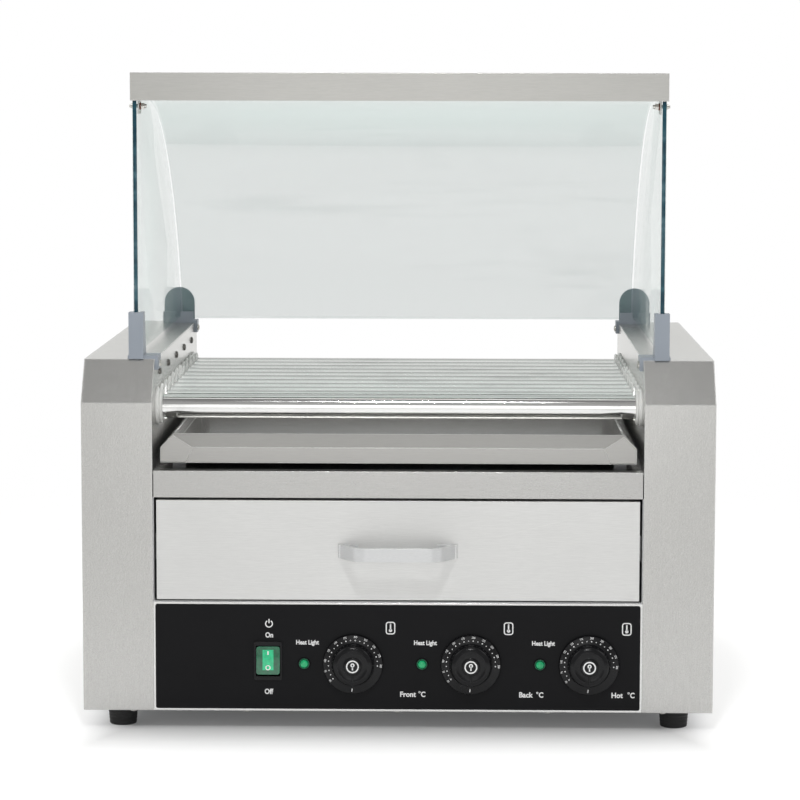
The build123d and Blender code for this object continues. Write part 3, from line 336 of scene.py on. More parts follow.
def settle(name, mesh, body, materials, stands=(), smooth=True):
    # a finished piece: at the origin, riding on its body, in place of its plain nodes
    piece = bpy.data.objects.new(name, mesh)
    bpy.context.scene.collection.objects.link(piece)
    kept = [face.material_index for face in mesh.polygons] if len(materials) > 1 else []
    mesh.materials.clear()
    for material in materials:
        mesh.materials.append(material)
    for face, number in zip(mesh.polygons, kept):
        face.material_index = number
    if smooth:
        for face in mesh.polygons:
            face.use_smooth = True
        mesh.set_sharp_from_angle(angle=math.radians(35))
    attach(piece, body)
    if stands:
        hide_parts(*stands)
    return piece


def baked(piece):
    # the evaluated shape as a plain mesh
    graph = bpy.context.evaluated_depsgraph_get()
    return bpy.data.meshes.new_from_object(piece.evaluated_get(graph))


def facing(direction, place):
    # a matrix that takes local +Z to the direction, at the place
    turn = Vector(direction).to_track_quat("Z", "Y").to_matrix().to_4x4()
    return Matrix.Translation(Vector(place)) @ turn


def lathe(shape, profile, matrix=Matrix(), steps=48):
    # turns (radius, height) points about local +Z into a closed skin
    rings = []
    for radius, height in profile:
        if radius < 1e-9:
            rings.append([shape.verts.new(matrix @ Vector((0, 0, height)))])
            continue
        angles = [2 * math.pi * step / steps for step in range(steps)]
        rings.append([
            shape.verts.new(matrix @ Vector((radius * math.cos(a), radius * math.sin(a), height)))
            for a in angles
        ])
    for lower, upper in zip(rings, rings[1:]):
        for step in range(steps):
            after = (step + 1) % steps
            if len(lower) == 1 and len(upper) > 1:
                shape.faces.new((lower[0], upper[after], upper[step]))
            elif len(upper) == 1 and len(lower) > 1:
                shape.faces.new((lower[step], lower[after], upper[0]))
            elif len(lower) > 1:
                shape.faces.new((lower[step], lower[after], upper[after], upper[step]))
    return shape


def block(shape, low, high, matrix=Matrix(), bevel=0.0):
    made = bmesh.ops.create_cube(shape, size=1.0)["verts"]
    middle = (Vector(low) + Vector(high)) / 2
    size = Vector(high) - Vector(low)
    for vert in made:
        vert.co = matrix @ Vector((vert.co[i] * size[i] + middle[i] for i in range(3)))
    if bevel > 0:
        edges = {edge for vert in made for edge in vert.link_edges}
        bmesh.ops.bevel(shape, geom=list(edges), offset=bevel, segments=2, profile=0.6, affect="EDGES")
    return shape


def asMesh(shape, name):
    bmesh.ops.recalc_face_normals(shape, faces=shape.faces)
    mesh = bpy.data.meshes.new(name)
    shape.to_mesh(mesh)
    shape.free()
    return mesh


# copies of one shape on given points
def copiesTree():
    tree = bpy.data.node_groups.new("copiesOnPoints", "GeometryNodeTree")
    tree.interface.new_socket("Geometry", in_out="INPUT", socket_type="NodeSocketGeometry")
    tree.interface.new_socket("Shape", in_out="INPUT", socket_type="NodeSocketObject")
    tree.interface.new_socket("Turn", in_out="INPUT", socket_type="NodeSocketRotation")
    tree.interface.new_socket("Turn Spread", in_out="INPUT", socket_type="NodeSocketFloat")
    tree.interface.new_socket("Seed", in_out="INPUT", socket_type="NodeSocketInt")
    tree.interface.new_socket("Material", in_out="INPUT", socket_type="NodeSocketMaterial")
    tree.interface.new_socket("Geometry", in_out="OUTPUT", socket_type="NodeSocketGeometry")
    add = tree.nodes.new
    join = tree.links.new
    given, result = add("NodeGroupInput"), add("NodeGroupOutput")
    info = add("GeometryNodeObjectInfo")
    spread = add("FunctionNodeRandomValue")
    spin = add("ShaderNodeCombineXYZ")
    toTurn, addTurn = add("FunctionNodeEulerToRotation"), add("FunctionNodeRotateRotation")
    addTurn.rotation_space = "LOCAL"
    minus = add("ShaderNodeMath")
    minus.operation = "MULTIPLY"
    minus.inputs[1].default_value = -1.0
    copies = add("GeometryNodeInstanceOnPoints")
    real = add("GeometryNodeRealizeInstances")
    paint = add("GeometryNodeSetMaterial")
    join(given.outputs["Turn Spread"], minus.inputs[0])
    join(minus.outputs[0], spread.inputs[2])
    join(given.outputs["Turn Spread"], spread.inputs[3])
    join(given.outputs["Seed"], spread.inputs["Seed"])
    join(spread.outputs[1], spin.inputs["Z"])
    join(spin.outputs[0], toTurn.inputs[0])
    join(given.outputs["Turn"], addTurn.inputs[0])
    join(toTurn.outputs[0], addTurn.inputs[1])
    join(given.outputs["Shape"], info.inputs["Object"])
    join(given.outputs["Geometry"], copies.inputs["Points"])
    join(info.outputs["Geometry"], copies.inputs["Instance"])
    join(addTurn.outputs[0], copies.inputs["Rotation"])
    join(copies.outputs[0], real.inputs[0])
    join(real.outputs[0], paint.inputs[0])
    join(given.outputs["Material"], paint.inputs["Material"])
    join(paint.outputs[0], result.inputs[0])
    return tree


copies = copiesTree()


def setInput(modifier, name, value):
    for item in modifier.node_group.interface.items_tree:
        if item.name == name and item.in_out == "INPUT":
            modifier[item.identifier] = value


def copiesOn(points, shapeMesh, direction, material, spread=0.0, seed=3):
    # a plain mesh of the shape at each point, its local +Z along the direction
    shape = bpy.data.objects.new("shape", shapeMesh)
    carrierMesh = bpy.data.meshes.new("carrier")
    carrierMesh.from_pydata([tuple(p) for p in points], [], [])
    carrier = bpy.data.objects.new("carrier", carrierMesh)
    for temporary in (shape, carrier):
        bpy.context.scene.collection.objects.link(temporary)
    modifier = carrier.modifiers.new("copies", "NODES")
    modifier.node_group = copies
    setInput(modifier, "Shape", shape)
    setInput(modifier, "Turn", Vector(direction).to_track_quat("Z", "Y").to_euler())
    setInput(modifier, "Turn Spread", spread)
    setInput(modifier, "Seed", seed)
    setInput(modifier, "Material", material)
    mesh = baked(carrier)
    for temporary in (carrier, shape):
        bpy.data.objects.remove(temporary)
    return mesh


def joined(name, meshes):
    shape = bmesh.new()
    for mesh in meshes:
        shape.from_mesh(mesh)
    mesh = bpy.data.meshes.new(name)
    shape.to_mesh(mesh)
    shape.free()
    return mesh


def centreOf(nodeName):
    low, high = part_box(nodeName)
    return (Vector(low) + Vector(high)) / 2


glass = {"thick": 0.005, "edgeBevel": 0.0007, "arcSteps": 56, "tangent": 0.0915}
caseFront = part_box("left_side_cover")[0][1]


def arcPoints(centreY, centreZ, radius, lowAngle, steps):
    angles = [lowAngle + (math.pi / 2 - lowAngle) * step / steps for step in range(steps + 1)]
    return [(centreY + radius * math.cos(a), centreZ + radius * math.sin(a)) for a in angles]


def slab(outline, xLow, xHigh, isPane, bevel):
    # an outline in y and z drawn out along x; edge faces take the second finish, front ones the third
    shape = bmesh.new()
    left = [shape.verts.new((xLow, y, z)) for y, z in outline]
    right = [shape.verts.new((xHigh, y, z)) for y, z in outline]
    shape.faces.new(left)
    shape.faces.new(list(reversed(right)))
    for here in range(len(outline)):
        after = (here + 1) % len(outline)
        shape.faces.new((left[after], left[here], right[here], right[after]))
    bmesh.ops.recalc_face_normals(shape, faces=shape.faces)
    for face in shape.faces:
        face.material_index = 0 if isPane(face) else 2 if face.normal.y < -0.9 else 1
    joints = [e for e in shape.edges if len(e.link_faces) == 2]
    rims = [e for e in joints if e.link_faces[0].material_index != e.link_faces[1].material_index]
    bmesh.ops.bevel(shape, geom=rims, offset=bevel, segments=2, profile=0.5, affect="EDGES", material=1)
    mesh = bpy.data.meshes.new("slab")
    shape.to_mesh(mesh)
    shape.free()
    return mesh


def makeGlass():
    low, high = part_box("hood_left_glass")
    tangentY = caseFront + glass["tangent"]
    rise, run = high[2] - low[2], high[1] - tangentY
    radius = (run * run + rise * rise) / (2 * rise)
    centreZ = high[2] - radius
    lowAngle = math.asin((low[2] - centreZ) / radius)
    rear = arcPoints(tangentY, centreZ, radius, lowAngle, glass["arcSteps"])
    outline = rear + [(low[1], high[2]), (low[1], low[2])]
    for side in ("left", "right"):
        node = f"hood_{side}_glass"
        sideLow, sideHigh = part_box(node)
        isPane = lambda face: abs(face.normal.x) > 0.9
        mesh = slab(outline, sideLow[0], sideHigh[0], isPane, glass["edgeBevel"])
        looks = [finishes["pane"], finishes["curvedEdge"], finishes["paneEdge"]]
        settle(f"{side}GlassPane", mesh, "chassis", looks, [node])
    low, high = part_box("hood_curved_glass")
    inner = arcPoints(tangentY, centreZ, radius - glass["thick"], lowAngle, glass["arcSteps"])
    band = rear + [(low[1], high[2]), (low[1], high[2] - glass["thick"])] + list(reversed(inner))
    endY = low[1]

    def isFace(face):
        middle = face.calc_center_median()
        atFront = abs(middle.y - endY) < 0.0005
        atRear = face.normal.z < -0.3 and middle.z < band[0][1] + 0.0005 and face.calc_area() < 0.004
        return abs(face.normal.x) < 0.9 and not atFront and not atRear
    mesh = slab(band, low[0], high[0], isFace, glass["edgeBevel"])
    looks = [finishes["curvedPane"], finishes["curvedEdge"], finishes["curvedEdge"]]
    settle("curvedGlassPane", mesh, "chassis", looks, ["hood_curved_glass"])


makeGlass()
print("glass made")

screws = {"head": 0.0035, "rise": 0.0022, "shank": 0.00175, "cross": 0.0021, "crossWidth": 0.0008,
          "crossDeep": 0.0013, "spread": 3.0, "short": 0.006, "long": 0.013, "longBelow": 0.012}


def panScrew(length):
    # domed head with a cross recess, standing on z = 0, shank below it
    head, rise, shank = screws["head"], screws["rise"], screws["shank"]
    dome = [(head, 0.0), (head * 0.99, rise * 0.28), (head * 0.90, rise * 0.62), (head * 0.68, rise * 0.88),
            (head * 0.36, rise * 0.98), (0.0, rise)]
    shape = lathe(bmesh.new(), [(0.0, -length), (shank, -length), (shank, 0.0)] + dome, steps=24)
    body = bpy.data.objects.new("head", asMesh(shape, "head"))
    cutter = bmesh.new()
    half, reach, deep = screws["crossWidth"] / 2, screws["cross"], rise - screws["crossDeep"]
    block(cutter, (-reach, -half, deep), (reach, half, rise * 2))
    across = bpy.data.objects.new("across", asMesh(cutter, "across"))
    cutter = bmesh.new()
    block(cutter, (-half, -reach, deep), (half, reach, rise * 2))
    along = bpy.data.objects.new("along", asMesh(cutter, "along"))
    for item in (body, across, along):
        bpy.context.scene.collection.objects.link(item)
    for tool in (across, along):
        cut = body.modifiers.new("cut", "BOOLEAN")
        cut.object = tool
        cut.operation = "DIFFERENCE"
    mesh = baked(body)
    for item in (body, across, along):
        bpy.data.objects.remove(item)
    return mesh


def islandCentres(nodeName):
    # the middle of each separate solid in a node
    shape = bmesh.new()
    shape.from_mesh(nodes[nodeName].data)
    bmesh.ops.remove_doubles(shape, verts=shape.verts, dist=1e-6)
    seen, found = set(), []
    for start in shape.verts:
        if start in seen:
            continue
        group, queue = [], [start]
        seen.add(start)
        while queue:
            vert = queue.pop()
            group.append(vert.co.copy())
            for edge in vert.link_edges:
                other = edge.other_vert(vert)
                if other not in seen:
                    seen.add(other)
                    queue.append(other)
        low = Vector((min(p[i] for p in group) for i in range(3)))
        high = Vector((max(p[i] for p in group) for i in range(3)))
        found.append((low, high))
    shape.free()
    return found


def makeScrews():
    metal = finishes["screw"]
    left = [(low, high) for low, high in islandCentres("wall_screws")]
    points = [(high.x - screws["rise"], (low.y + high.y) / 2, (low.z + high.z) / 2) for low, high in left]
    dark = finishes["darkScrew"]
    mesh = copiesOn(points, panScrew(screws["short"]), (1, 0, 0), dark, screws["spread"], 5)
    settle("wallScrews", mesh, "chassis", [dark], ["wall_screws"])
    parts = []
    for side in (-1, 1):
        islands = islandCentres("hood_bracket_screws")
        found = [(low, high) for low, high in islands if (low.x > 0) == (side > 0)]
        points = [((low.x + screws["rise"]) if side > 0 else (high.x - screws["rise"]),
                   (low.y + high.y) / 2, (low.z + high.z) / 2) for low, high in found]
        parts.append(copiesOn(points, panScrew(screws["short"]), (-side, 0, 0), metal, screws["spread"], 7))
    mesh = joined("bracketScrews", parts)
    settle("bracketScrews", mesh, "chassis", [metal], ["hood_bracket_screws"])
    short, long = [], []
    for low, high in islandCentres("base_screws"):
        point = ((low.x + high.x) / 2, (low.y + high.y) / 2, low.z + screws["rise"])
        (short if low.z > screws["longBelow"] else long).append(point)
    parts = [copiesOn(short, panScrew(screws["short"]), (0, 0, -1), metal, screws["spread"], 9)]
    parts.append(copiesOn(long, panScrew(screws["long"]), (0, 0, -1), metal, screws["spread"], 11))
    settle("baseScrews", joined("baseScrews", parts), "chassis", [metal], ["base_screws"])


makeScrews()
print("screws made")

seals = {"outer": 0.01725, "inner": 0.0111, "neck": 0.0156, "lip": 0.01625}


def makeSeals():
    outer, inner, neck, lip = seals["outer"], seals["inner"], seals["neck"], seals["lip"]
    profile = [(inner, 0.0), (outer - 0.0004, 0.0), (outer, 0.0004), (outer, 0.0017),
               (outer - 0.0006, 0.0022), (neck, 0.0026), (neck - 0.0004, 0.0031), (neck, 0.0036),
               (lip - 0.0004, 0.0039), (lip, 0.0043), (lip - 0.0002, 0.0053), (lip - 0.0012, 0.0059),
               (inner + 0.0022, 0.0056), (inner + 0.0006, 0.0060), (inner, 0.0056), (inner, 0.0)]
    parts = []
    for side in (-1, 1):
        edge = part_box("roller_seals")[0 if side < 0 else 1][0]
        points = []
        for name in nodeFinish["tube"]:
            middle = centreOf(name)
            points.append((edge, middle.y, middle.z))
        ring = bmesh.new()
        lathe(ring, profile, steps=48)
        bmesh.ops.remove_doubles(ring, verts=ring.verts, dist=1e-7)
        parts.append(copiesOn(points, asMesh(ring, "ring"), (-side, 0, 0), finishes["ptfe"], 3.0, 13))
    mesh = joined("rollerSeals", parts)
    settle("rollerSeals", mesh, "chassis", [finishes["ptfe"]], ["roller_seals"])


makeSeals()
print("seals made")

feet = {"top": 0.014, "bottom": 0.0125, "height": 0.017}


def makeFeet():
    top, bottom, height = feet["top"], feet["bottom"], feet["height"]
    hole, bore, ledge = 0.0055, 0.00175, 0.009
    profile = [(bore, ledge), (hole, ledge), (hole, 0.0), (bottom - 0.0012, 0.0),
               (bottom - 0.0003, 0.0004), (bottom, 0.0014)]
    for ridge in range(4):
        z = 0.003 + ridge * 0.003
        radius = bottom + (top - bottom) * z / height
        groove = radius - 0.0004
        profile += [(radius, z), (groove, z + 0.0005), (groove, z + 0.0010), (radius, z + 0.0015)]
    profile += [(top, height - 0.001), (top - 0.0005, height), (bore, height), (bore, ledge)]
    ring = lathe(bmesh.new(), profile, steps=48)
    bmesh.ops.remove_doubles(ring, verts=ring.verts, dist=1e-7)
    spots = [((low.x + high.x) / 2, (low.y + high.y) / 2, 0.0) for low, high in islandCentres("feet")]
    mesh = copiesOn(spots, asMesh(ring, "foot"), (0, 0, 1), finishes["rubber"])
    settle("rubberFeet", mesh, "chassis", [finishes["rubber"]], ["feet"])


makeFeet()
print("feet made")


# flat shapes on a face that looks along -y
class Print:
    def __init__(self, y):
        self.y = y
        self.verts = []
        self.faces = []

    def ring(self, x, z, inner, outer, start=0.0, sweep=360.0, steps=28):
        # angles in degrees, clockwise from the top
        base = len(self.verts)
        for step in range(steps + 1):
            angle = math.radians(start + sweep * step / steps)
            for radius in (inner, outer):
                self.verts.append((x + radius * math.sin(angle), self.y, z + radius * math.cos(angle)))
        for step in range(steps):
            here = base + 2 * step
            self.faces.append((here, here + 1, here + 3, here + 2))

    def disc(self, x, z, radius, steps=16):
        base = len(self.verts)
        for step in range(steps):
            angle = 2 * math.pi * step / steps
            self.verts.append((x + radius * math.sin(angle), self.y, z + radius * math.cos(angle)))
        self.faces.append(tuple(range(base, base + steps)))

    def bar(self, x, z, width, height, turn=0.0):
        base = len(self.verts)
        angle = math.radians(turn)
        for dx, dz in ((-1, -1), (-1, 1), (1, 1), (1, -1)):
            u, v = dx * width / 2, dz * height / 2
            across = x + u * math.cos(angle) + v * math.sin(angle)
            up = z - u * math.sin(angle) + v * math.cos(angle)
            self.verts.append((across, self.y, up))
        self.faces.append((base, base + 1, base + 2, base + 3))

    def frame(self, x, z, width, height, line, corner):
        # a rounded rectangle drawn as a line
        base, steps = len(self.verts), 6
        for cx, cz, start in ((1, 1, 0), (1, -1, 90), (-1, -1, 180), (-1, 1, 270)):
            for step in range(steps + 1):
                angle = math.radians(start + 90 * step / steps)
                for radius in (corner - line, corner):
                    self.verts.append((x + cx * (width / 2 - corner) + radius * math.sin(angle), self.y,
                                       z + cz * (height / 2 - corner) + radius * math.cos(angle)))
        total = 4 * (steps + 1)
        for step in range(total):
            here, after = base + 2 * step, base + 2 * ((step + 1) % total)
            self.faces.append((here, here + 1, after + 1, after))

    def text(self, words, x, z, height, weight=0.02, turn=0.0, narrow=1.0):
        curve = bpy.data.curves.new("words", "FONT")
        curve.body = words
        curve.size = 1.0
        curve.align_x, curve.align_y = "CENTER", "CENTER"
        curve.offset = weight
        curve.resolution_u = 3
        item = bpy.data.objects.new("words", curve)
        bpy.context.scene.collection.objects.link(item)
        mesh = baked(item)
        bpy.data.objects.remove(item)
        scale = height / 0.72
        middle = 0.36 - 0.36
        angle = math.radians(turn)
        base = len(self.verts)
        for vert in mesh.vertices:
            u, v = vert.co.x * scale * narrow, (vert.co.y - middle) * scale
            across = x + u * math.cos(angle) + v * math.sin(angle)
            up = z - u * math.sin(angle) + v * math.cos(angle)
            self.verts.append((across, self.y, up))
        for face in mesh.polygons:
            self.faces.append(tuple(base + index for index in face.vertices))

    def mesh(self, name):
        mesh = bpy.data.meshes.new(name)
        mesh.from_pydata(self.verts, [], self.faces)
        shape = bmesh.new()
        shape.from_mesh(mesh)
        for face in shape.faces:
            if face.normal.y > 0:
                face.normal_flip()
        shape.to_mesh(mesh)
        shape.free()
        return mesh


labels = {"lift": 0.00006, "cap": 0.0048, "small": 0.0042, "wide": 0.0049, "switchX": -0.1183}
knobNodes = ("knob_front", "knob_back", "knob_hot")
knobWords = ("Front", "Back", "Hot")


def thermometer(sheet, x, z, height):
    sheet.ring(x, z - height * 0.28, 0.0, height * 0.20, steps=20)
    sheet.bar(x, z + height * 0.10, height * 0.17, height * 0.72)
    sheet.disc(x, z + height * 0.46, height * 0.085, 14)


def makePanelPrint():
    sheet = Print(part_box("panel_overlay")[0][1] - labels["lift"])
    x = labels["switchX"]
    sheet.ring(x, 0.0985, 0.0026, 0.0036, 32, 296)
    sheet.bar(x, 0.1010, 0.0010, 0.0040)
    sheet.text("On", x + 0.0002, 0.0878, labels["cap"], 0.03, 0, 0.84)
    sheet.text("Off", x - 0.0005, 0.0350, labels["cap"], 0.03, 0, 0.86)
    for node, word in zip(knobNodes, knobWords):
        middle = centreOf(node)
        sheet.text("Heat Light", middle.x - 0.042, 0.0812, labels["small"], 0.03, 0, 0.86)
        sheet.frame(middle.x + 0.0345, 0.0950, 0.0088, 0.0118, 0.0010, 0.0026)
        thermometer(sheet, middle.x + 0.0345, 0.0950, 0.0078)
        wordX = middle.x + (0.0545 if word != "Hot" else 0.0300)
        sheet.text(word, wordX - 0.0040, 0.0330, labels["wide"], 0.03, 0, 0.96)
        sheet.ring(wordX + 0.0068, 0.0352, 0.0005, 0.0010, steps=12)
        sheet.text("C", wordX + 0.0102, 0.0330, labels["wide"], 0.03, 0, 0.9)
    settle("panelPrint", sheet.mesh("panelPrint"), "chassis", [finishes["ink"]], smooth=False)


makePanelPrint()

knobs = {"skirt": 0.028, "grip": 0.0195, "boss": 0.008, "skirtRise": 0.003, "gripRise": 0.013,
         "bossRise": 0.0138, "dots": 21, "firstDot": -126.0, "sweep": 219.0,
         "dotCircle": 0.0226, "labelCircle": 0.0256, "shaft": 0.003}


def makeKnob(node, order):
    middle = centreOf(node)
    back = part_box("panel_overlay")[0][1] - 0.0008
    skirt, grip, boss = knobs["skirt"], knobs["grip"], knobs["boss"]
    floor, face, crown = knobs["skirtRise"], knobs["gripRise"], knobs["bossRise"]
    shaft = knobs["shaft"]
    profile = [(0.0, -0.0128), (shaft, -0.0128), (shaft, 0.004), (0.0062, 0.004), (0.0062, 0.0),
               (skirt - 0.0004, 0.0),
               (skirt, 0.0003), (skirt - 0.0003, 0.0016), (skirt - 0.0008, floor - 0.0003),
               (skirt - 0.0014, floor), (grip + 0.0012, floor), (grip + 0.0004, floor + 0.0004),
               (grip, floor + 0.0014), (grip - 0.0005, face - 0.0050),
               (grip - 0.0010, face - 0.0030), (grip - 0.0021, face - 0.0015), (grip - 0.0038, face - 0.0005),
               (grip - 0.0056, face),
               (grip * 0.66, face - 0.0006), (boss + 0.0012, face - 0.0009), (boss + 0.0003, face - 0.0007),
               (boss, face - 0.0001), (boss - 0.0003, crown - 0.0002), (boss - 0.0008, crown), (0.0, crown)]
    place = facing((0, -1, 0), (middle.x, back, middle.z))
    shape = lathe(bmesh.new(), profile, place, 72)
    # grip ridge from the boss down to the rim, and its pointer rib
    y = back - face
    low = (middle.x - 0.0007, y - 0.0004, middle.z - grip + 0.0032)
    high = (middle.x + 0.0007, y + 0.0012, middle.z - boss)
    block(shape, low, high, bevel=0.0003)
    settle(f"knob{order}", asMesh(shape, "knob"), node, [finishes["knob"]], [node])

    sheet = Print(back - floor - labels["lift"])
    for number in range(knobs["dots"]):
        angle = knobs["firstDot"] + knobs["sweep"] * number / (knobs["dots"] - 1)
        turn = math.radians(angle)
        x = middle.x + knobs["dotCircle"] * math.sin(turn)
        z = middle.z + knobs["dotCircle"] * math.cos(turn)
        long = number % 2 == 0
        sheet.disc(x, z, 0.00062 if long else 0.0005, 10)
        if long:
            x = middle.x + knobs["labelCircle"] * math.sin(turn)
            z = middle.z + knobs["labelCircle"] * math.cos(turn)
            sheet.text(str(50 + 25 * number // 2), x, z, 0.0019, 0.012, angle, 0.8)
    sheet.bar(middle.x - 0.0008, middle.z - 0.0238, 0.0009, 0.0030, 8)
    settle(f"dialMarks{order}", sheet.mesh("dialMarks"), node, [finishes["ink"]], smooth=False)
    sheet = Print(back - crown - labels["lift"])
    sheet.ring(middle.x, middle.z, 0.0047, 0.0059, steps=40)
    sheet.ring(middle.x, middle.z + 0.0014, 0.0008, 0.0019, steps=20)
    sheet.bar(middle.x, middle.z - 0.0015, 0.0012, 0.0034)
    settle(f"knobBadge{order}", sheet.mesh("knobBadge"), node, [finishes["ink"]], smooth=False)


for order, node in enumerate(knobNodes, start=1):
    makeKnob(node, order)
print("knobs made")

rocker = {"pivotDeep": 0.002, "crown": 0.0035, "tilt": 7.0, "width": 0.0213, "height": 0.0255,
          "corner": 0.0022,
          "deep": 0.0085, "band": 0.0050}


def makeRocker():
    # a clear green key with two flats, its brighter window and its two signs
    low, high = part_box("power_rocker")
    bezelLow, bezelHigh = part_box("switch_body")
    x = (low[0] + high[0]) / 2
    z = (bezelLow[2] + bezelHigh[2]) / 2
    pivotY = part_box("panel_overlay")[0][1] + rocker["pivotDeep"]
    tilt = math.radians(rocker["tilt"])

    def onFace(dx, v, lift):
        # v runs up the face from the middle; lift stands off it
        u = -(rocker["crown"] + abs(v) * math.tan(tilt)) - lift
        y = u * math.cos(tilt) + v * math.sin(tilt)
        up = -u * math.sin(tilt) + v * math.cos(tilt)
        return (x + dx, pivotY + y, z + up)

    halfX, halfZ, corner = rocker["width"] / 2, rocker["height"] / 2, rocker["corner"]
    turns = [math.radians(90 * step / 6) for step in range(7)]
    columns = [(-halfX + corner - corner * math.cos(a), halfZ - corner + corner * math.sin(a)) for a in turns]
    columns += [(-dx, top) for dx, top in reversed(columns)]
    shape = bmesh.new()
    rows = []
    for lift in (0.0, -rocker["deep"]):
        rows.append([[shape.verts.new(onFace(dx, v, lift)) for v in (-top, 0.0, top)] for dx, top in columns])
    for front in (0, 1):
        for here, after in zip(rows[front], rows[front][1:]):
            shape.faces.new((here[0], after[0], after[1], here[1]))
            shape.faces.new((here[1], after[1], after[2], here[2]))
    for row in (0, 2):
        for step in range(len(columns) - 1):
            corners = (rows[0][step][row], rows[0][step + 1][row], rows[1][step + 1][row], rows[1][step][row])
            shape.faces.new(corners)
    for end in (0, -1):
        for row in (0, 1):
            corners = (rows[0][end][row], rows[0][end][row + 1], rows[1][end][row + 1], rows[1][end][row])
            shape.faces.new(corners)
    rims = [e for e in shape.edges if len(e.link_faces) == 2 and e.calc_face_angle(0.0) > math.radians(50)]
    bmesh.ops.recalc_face_normals(shape, faces=shape.faces)
    bmesh.ops.bevel(shape, geom=rims, offset=0.0005, segments=2, profile=0.5, affect="EDGES")
    mesh = asMesh(shape, "rockerKey")
    settle("rockerKey", mesh, "rocker", [finishes["green"]], ["power_rocker"])

    band = rocker["band"]
    verts = [onFace(dx, v, 0.00008) for v in (-0.0088, 0.0, 0.0098) for dx in (-band, band)]
    window = bpy.data.meshes.new("rockerWindow")
    window.from_pydata(verts, [], [(0, 1, 3, 2), (2, 3, 5, 4)])
    settle("rockerWindow", window, "rocker", [finishes["bright"]], smooth=False)
    verts, faces = [], []
    for dx, v in ((-0.0006, 0.0052), (0.0006, 0.0052), (0.0006, 0.0086), (-0.0006, 0.0086)):
        verts.append(onFace(dx, v, 0.00016))
    faces.append((0, 1, 2, 3))
    steps = 24
    for step in range(steps):
        angle = 2 * math.pi * step / steps
        for radius in (0.0015, 0.0023):
            verts.append(onFace(radius * math.sin(angle), -0.0066 + radius * math.cos(angle), 0.00016))
    for step in range(steps):
        here, after = 4 + 2 * step, 4 + 2 * ((step + 1) % steps)
        faces.append((here, here + 1, after + 1, after))
    signs = bpy.data.meshes.new("rockerSigns")
    signs.from_pydata(verts, [], faces)
    settle("rockerSigns", signs, "rocker", [finishes["ink"]], smooth=False)


makeRocker()
print("switch made")

lights = {"rim": 0.006, "ring": 0.0050, "lens": 0.0035, "rise": 0.0034}


def makeHeatLights():
    # a dark collar, a green ring inside it and a bright domed lens
    rim, ring, lens, rise = lights["rim"], lights["ring"], lights["lens"], lights["rise"]
    spots = [(low + high) / 2 for low, high in islandCentres("pilot_light_lenses")]
    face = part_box("panel_overlay")[0][1]
    points = [(spot.x, face, spot.z) for spot in spots]
    stem = 0.0045
    profile = [(0.0, -0.022), (stem, -0.022), (stem, 0.0), (rim, 0.0), (rim - 0.0001, 0.0006),
               (rim - 0.0006, 0.0013), (ring + 0.0002, 0.0015), (ring, 0.0012), (0.0, 0.0012)]
    collar = lathe(bmesh.new(), profile, steps=32)
    mesh = copiesOn(points, asMesh(collar, "collar"), (0, -1, 0), finishes["black"])
    settle("lightCollars", mesh, "chassis", [finishes["black"]], ["pilot_light_bodies"])
    profile = [(0.0, 0.0009), (ring - 0.0001, 0.0009), (ring - 0.0002, 0.0016), (ring - 0.0007, 0.0019),
               (lens + 0.0003, 0.0016), (lens, 0.0013), (0.0, 0.0013)]
    band = lathe(bmesh.new(), profile, steps=32)
    profile = [(0.0, 0.0012), (lens, 0.0012), (lens, 0.0020), (lens * 0.92, rise * 0.80),
               (lens * 0.75, rise * 0.91), (lens * 0.45, rise * 0.98), (0.0, rise)]
    dome = lathe(bmesh.new(), profile, steps=32)
    parts = [copiesOn(points, asMesh(band, "band"), (0, -1, 0), finishes["deepGreen"]),
             copiesOn(points, asMesh(dome, "dome"), (0, -1, 0), finishes["lamp"])]
    settle("lightRings", parts[0], "chassis", [finishes["deepGreen"]])
    settle("lightLenses", parts[1], "chassis", [finishes["lamp"]], ["pilot_light_lenses"])


makeHeatLights()
print("heat lights made")


studio = {
    "cameraPlace": (0.053, -2.897, 0.5926),
    "cameraTilt": 6.115,
    "cameraPan": 1.095,
    "cameraRoll": 0.1,
    "lens": 132.8,
    "floorHalf": 30.0,
    "floorTone": (0.62, 0.62, 0.62),
    # the floor's glow is dimmed within the footprint and the shadow reach: a painted contact shadow
    "floorGlow": 0.55,
    "footprint": (0.247, 0.215),
    "shadowReach": (-0.02, 0.125),
    "floorClear": (0.45, 1.5),
    # height of the direction, from -1 below to 1 overhead, and the light from there
    "frontBands": ((-1.0, 0.95), (-0.06, 0.95), (0.0, 0.22), (0.05, 0.42), (0.55, 0.44), (0.78, 0.22),
                   (0.965, 0.20), (0.99, 1.1)),
    "rearBands": ((-1.0, 0.95), (0.0, 1.0), (0.35, 0.95), (0.62, 0.66), (0.80, 0.72), (0.95, 1.05),
                  (1.0, 1.1)),
}


